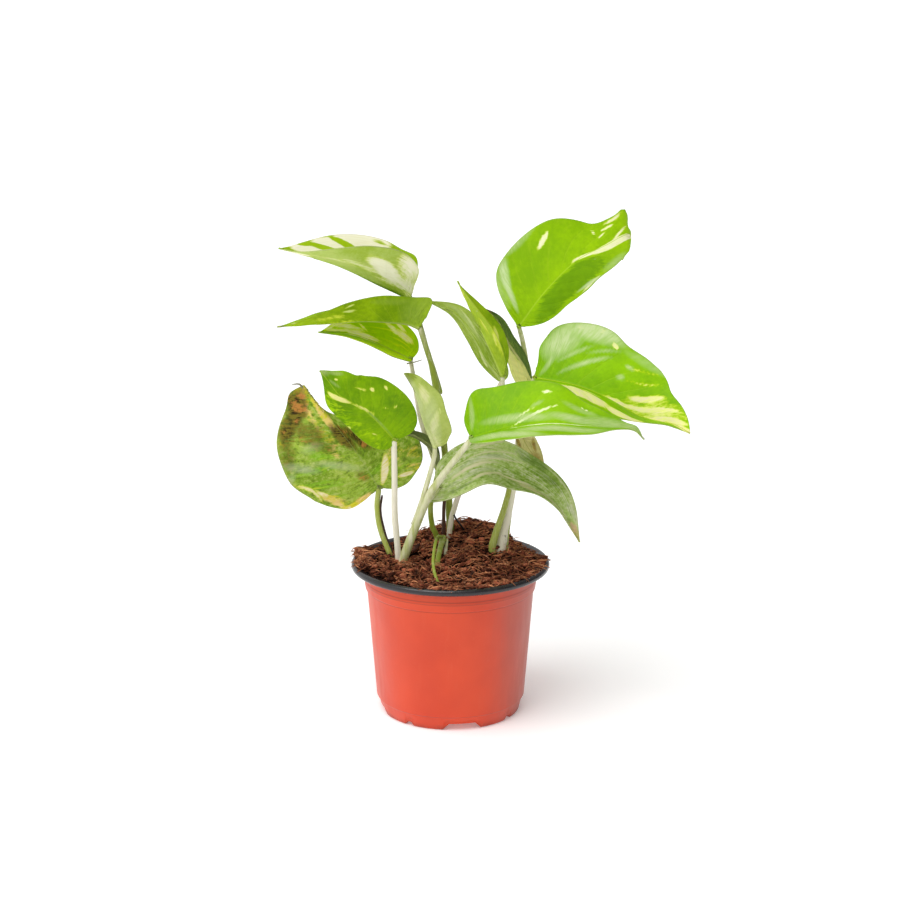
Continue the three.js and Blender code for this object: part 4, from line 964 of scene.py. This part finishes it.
bm, toneAndShade = soilMesh()
s = soilForm
profile = [(s["radius"] * i / s["rings"], 0) for i in range(s["rings"] + 1)]
profile += [(s["neckRadius"], s["neckHeight"]), (s["bodyRadius"], potForm["stepHeight"]),
            (s["footRadius"], s["floorHeight"]), (0, s["floorHeight"])]
spun(bm, profile, s["sectors"])
for vert in bm.verts:
    if abs(vert.co.z) < 1e-7:
        x, y = vert.co.x / mm, vert.co.y / mm
        away = min(math.hypot(x, y) / s["radius"], 1)
        loose = crumble(Vector((x, y, 0)))
        vert.co.z = (soilHeight(x, y) + loose * (1 - 0.6 * away ** 8)) * mm
        # painted shade: the hollows of the loose surface are darker
        vert[toneAndShade] = min(max(0.42 - 0.42 * loose, 0), 1)
bmesh.ops.recalc_face_normals(bm, faces=bm.faces)
finishPiece("soilBall", bm, [soilLook], ["soil"])

bm, toneAndShade = soilMesh()
for middle, size in soilSpills:
    for vert in bmesh.ops.create_icosphere(bm, subdivisions=5, radius=1)["verts"]:
        place = middle + size * vert.co
        loose = crumble(place)
        place += vert.co.normalized() * loose * 0.8
        place.z = max(place.z, potForm["rimHeight"] + potForm["rollRadius"] + 0.2)
        vert.co = place * mm
        # painted shade: the hollows of the heaps are darker
        vert[toneAndShade] = min(max(0.5 - 0.55 * loose, 0), 1)
finishPiece("soilSpill", bm, [soilLook])


def copies(bm, count):  # doubles what is in the mesh until there are count of it; gives the corners of each
    corners, made = len(bm.verts), 1
    while made < count:
        bmesh.ops.duplicate(bm, geom=[*bm.verts, *bm.edges, *bm.faces])
        made *= 2
    verts = list(bm.verts)
    return [verts[number * corners:(number + 1) * corners] for number in range(made)]


def around(angle, away, height=0):
    return Vector((away * math.cos(angle), away * math.sin(angle), height))


topForm = {  # what falls where: draws over or under these go to the ledge, its back part and the heaps
    "ledge": 0.8, "back": 0.7, "heaps": 0.12,
    "backAngles": (10, 158), "backAway": (45.5, 54), "backRise": 0.3,  # degrees and mm
    "frontAngles": [(-112, 10), (-112, 10), (158, 200)], "frontAway": (52, 57), "frontHeight": 91.5, "frontSlope": 0.3,
    "heapShare": 0.92,
}


def topPlace(spread):  # a random place on the soil, on the ledge inside the rim or on the heaps over the rim
    kind, form = rng.random(), topForm
    if kind > form["ledge"]:
        if rng.random() > form["back"]:
            place = around(math.radians(rng.uniform(*form["backAngles"])), rng.uniform(*form["backAway"]))
            place.z = soilHeight(place.x, place.y) + form["backRise"]
            return place
        angle = math.radians(rng.choice([rng.uniform(*span) for span in form["frontAngles"]]))
        away = rng.uniform(*form["frontAway"])
        return around(angle, away, form["frontHeight"] + form["frontSlope"] * (away - form["frontAway"][0]))
    if kind < form["heaps"]:
        middle, size = rng.choice(soilSpills)
        angle, away = rng.uniform(0, 2 * math.pi), math.sqrt(rng.random()) * form["heapShare"]
        return middle + size * around(angle, away, math.sqrt(max(1 - away ** 2, 0.05)))
    place = around(rng.uniform(0, 2 * math.pi), math.sqrt(rng.random()) * spread)
    place.z = soilHeight(place.x, place.y)
    return place


def turned(lean, axis):
    return Matrix.Rotation(rng.uniform(0, 6.3), 3, "Z") @ Matrix.Rotation(rng.uniform(-lean, lean), 3, axis)


chipForm = {"count": 64, "long": (1.6, 4.2), "wide": (0.8, 1.6), "thick": (0.35, 0.7), "reach": 48, "lift": (0.2, 1.6),
            "heaped": 8, "heapEast": (6, 18), "heapNorth": (26, 36), "lean": 0.6, "rugged": 0.35, "toneAndShade": 0.2}
bm, toneAndShade = soilMesh()
bmesh.ops.create_icosphere(bm, subdivisions=2, radius=1)
for number, verts in enumerate(copies(bm, chipForm["count"])):
    if number < chipForm["heaped"]:
        centre = Vector((rng.uniform(*chipForm["heapEast"]), rng.uniform(*chipForm["heapNorth"]), 0))
    else:
        centre = topPlace(chipForm["reach"])
    centre.z = soilHeight(centre.x, centre.y) + rng.uniform(*chipForm["lift"])
    long, wide, thick = [rng.uniform(*chipForm[key]) for key in ("long", "wide", "thick")]
    turn = turned(chipForm["lean"], "Y")
    for vert in verts:
        rugged = 1 + chipForm["rugged"] * noise.noise(vert.co * 1.7 + centre)
        flat = max(min(vert.co.z, 0.5), -0.5)
        local = Vector((vert.co.x * long * rugged, vert.co.y * wide * rugged, flat * thick * 2))
        vert.co = (centre + turn @ local) * mm
        vert[toneAndShade] = chipForm["toneAndShade"]
finishPiece("soilChips", bm, [barkLook])

crumbForm = {"count": 4096, "least": 0.4, "more": 1.6, "stretch": [(0.7, 1.9), (0.6, 1.2), (0.45, 0.9)],
             "rough": (0.75, 1.2), "reach": 52.2, "lift": (-0.3, 0.9), "lean": 0.7, "darkest": 0.8}
bm, toneAndShade = soilMesh()
bmesh.ops.create_icosphere(bm, subdivisions=1, radius=1)
for verts in copies(bm, crumbForm["count"]):
    centre = topPlace(crumbForm["reach"])
    size = crumbForm["least"] + crumbForm["more"] * rng.random() ** 2.2
    stretch = [rng.uniform(*span) for span in crumbForm["stretch"]]
    turn = turned(crumbForm["lean"], "X")
    centre.z += rng.uniform(*crumbForm["lift"]) * size
    tone = rng.random() ** 1.5
    for vert in verts:
        local = Vector([vert.co[i] * stretch[i] * size * rng.uniform(*crumbForm["rough"]) for i in range(3)])
        vert.co = (centre + turn @ local) * mm
        vert[toneAndShade] = tone * crumbForm["darkest"]
finishPiece("soilCrumbs", bm, [crumbLook])

fibreForm = {"count": 2048, "length": (3, 13), "radius": (0.16, 0.46), "taper": 0.7, "rings": 7, "sides": 3,
             "pitch": (-0.25, 0.5), "bow": (-0.35, 0.35), "sway": (-0.3, 0.3), "reach": 51, "lift": 0.8,
             "darkest": 0.6}
bm, toneAndShade = soilMesh()
ring, edges = newRing(bm, fibreForm["sides"])
for step in range(1, fibreForm["rings"]):
    ring, edges = extruded(bm, edges)
    bmesh.ops.translate(bm, verts=ring, vec=(0, 0, 1))
bmesh.ops.contextual_create(bm, geom=edges)
bmesh.ops.recalc_face_normals(bm, faces=bm.faces)
for verts in copies(bm, fibreForm["count"]):
    centre = topPlace(fibreForm["reach"])
    length = rng.uniform(*fibreForm["length"])
    radius = rng.uniform(*fibreForm["radius"])
    heading = rng.uniform(0, 2 * math.pi)
    pitch, bow, sway = [rng.uniform(*fibreForm[key]) for key in ("pitch", "bow", "sway")]
    head = around(heading, math.cos(pitch), math.sin(pitch))
    side = Vector((-math.sin(heading), math.cos(heading), 0))
    up = head.cross(side)
    centre.z += fibreForm["lift"]
    tone = rng.random() * fibreForm["darkest"]
    for vert in verts:
        share = vert.co.z / (fibreForm["rings"] - 1)
        thin = radius * (1 - fibreForm["taper"] * abs(2 * share - 1) ** 3)
        arc = 4 * share * (1 - share) * length
        place = centre + head * (length * (share - 0.5)) + up * (-bow * arc * 0.5) + side * (sway * arc)
        vert.co = (place + side * (vert.co.x * thin) + up * (vert.co.y * thin)) * mm
        vert[toneAndShade] = tone
finishPiece("soilFibres", bm, [fibreLook])
print("soil made")

floorForm = {"size": 40, "below": 0.0004}
bm = bmesh.new()
bmesh.ops.create_grid(bm, x_segments=4, y_segments=4, size=floorForm["size"])
floorMesh = bpy.data.meshes.new("floor")
bm.to_mesh(floorMesh)
bm.free()
material, shader, where = newMaterial("paleFloor", {"Roughness": 0.8, "Specular IOR Level": 0.05,
                                                    "Emission Color": (1, 1, 1, 1), "Emission Strength": 0.2})
feed(shader.inputs["Base Color"], painted(tint((252, 252, 252)), noiseOf(where, 3), (255, 255, 255)))
floorMesh.materials.append(material)
floor = addObject("floor", floorMesh)
floor.location.z = -floorForm["below"]

skyForm = {"left": 1, "right": 0.24}  # soft light all round, weaker from the right
world = bpy.data.worlds.new("studio")
world.use_nodes = True
building["tree"] = world.node_tree
back = world.node_tree.nodes["Background"]
back.inputs["Color"].default_value = (1, 1, 1, 1)
heading = stepsOf(newNode("TexCoord", None, "Generated"))[0]
feed(back.inputs["Strength"], ramped(heading, -0.9, 0.9, skyForm["left"], skyForm["right"]))
bpy.context.scene.world = world
sunForm = {"from": (-0.6, -0.8, 1.9), "strength": 1.55, "spread": 44}
light = bpy.data.lights.new("keyLight", "SUN")
light.energy, light.angle = sunForm["strength"], math.radians(sunForm["spread"])
holder = addObject("keyLight", light)
holder.rotation_euler = Vector([-part for part in sunForm["from"]]).to_track_quat("-Z", "Y").to_euler()

cameraForm = {"distance": 1.3, "elevation": 14.6, "lens": 87, "sensor": 36, "sideStep": -0.00027, "aim": 0.1618}
lens = bpy.data.cameras.new("camera")
lens.lens, lens.sensor_width = cameraForm["lens"], cameraForm["sensor"]
camera = addObject("camera", lens)
tilt = math.radians(cameraForm["elevation"])
camera.location = Vector((cameraForm["sideStep"], -math.cos(tilt) * cameraForm["distance"],
                          math.sin(tilt) * cameraForm["distance"] + cameraForm["aim"]))
camera.rotation_euler = (math.pi / 2 - tilt, 0, 0)
bpy.context.scene.camera = camera
bpy.context.scene.view_settings.view_transform = "Standard"
print("setting made")
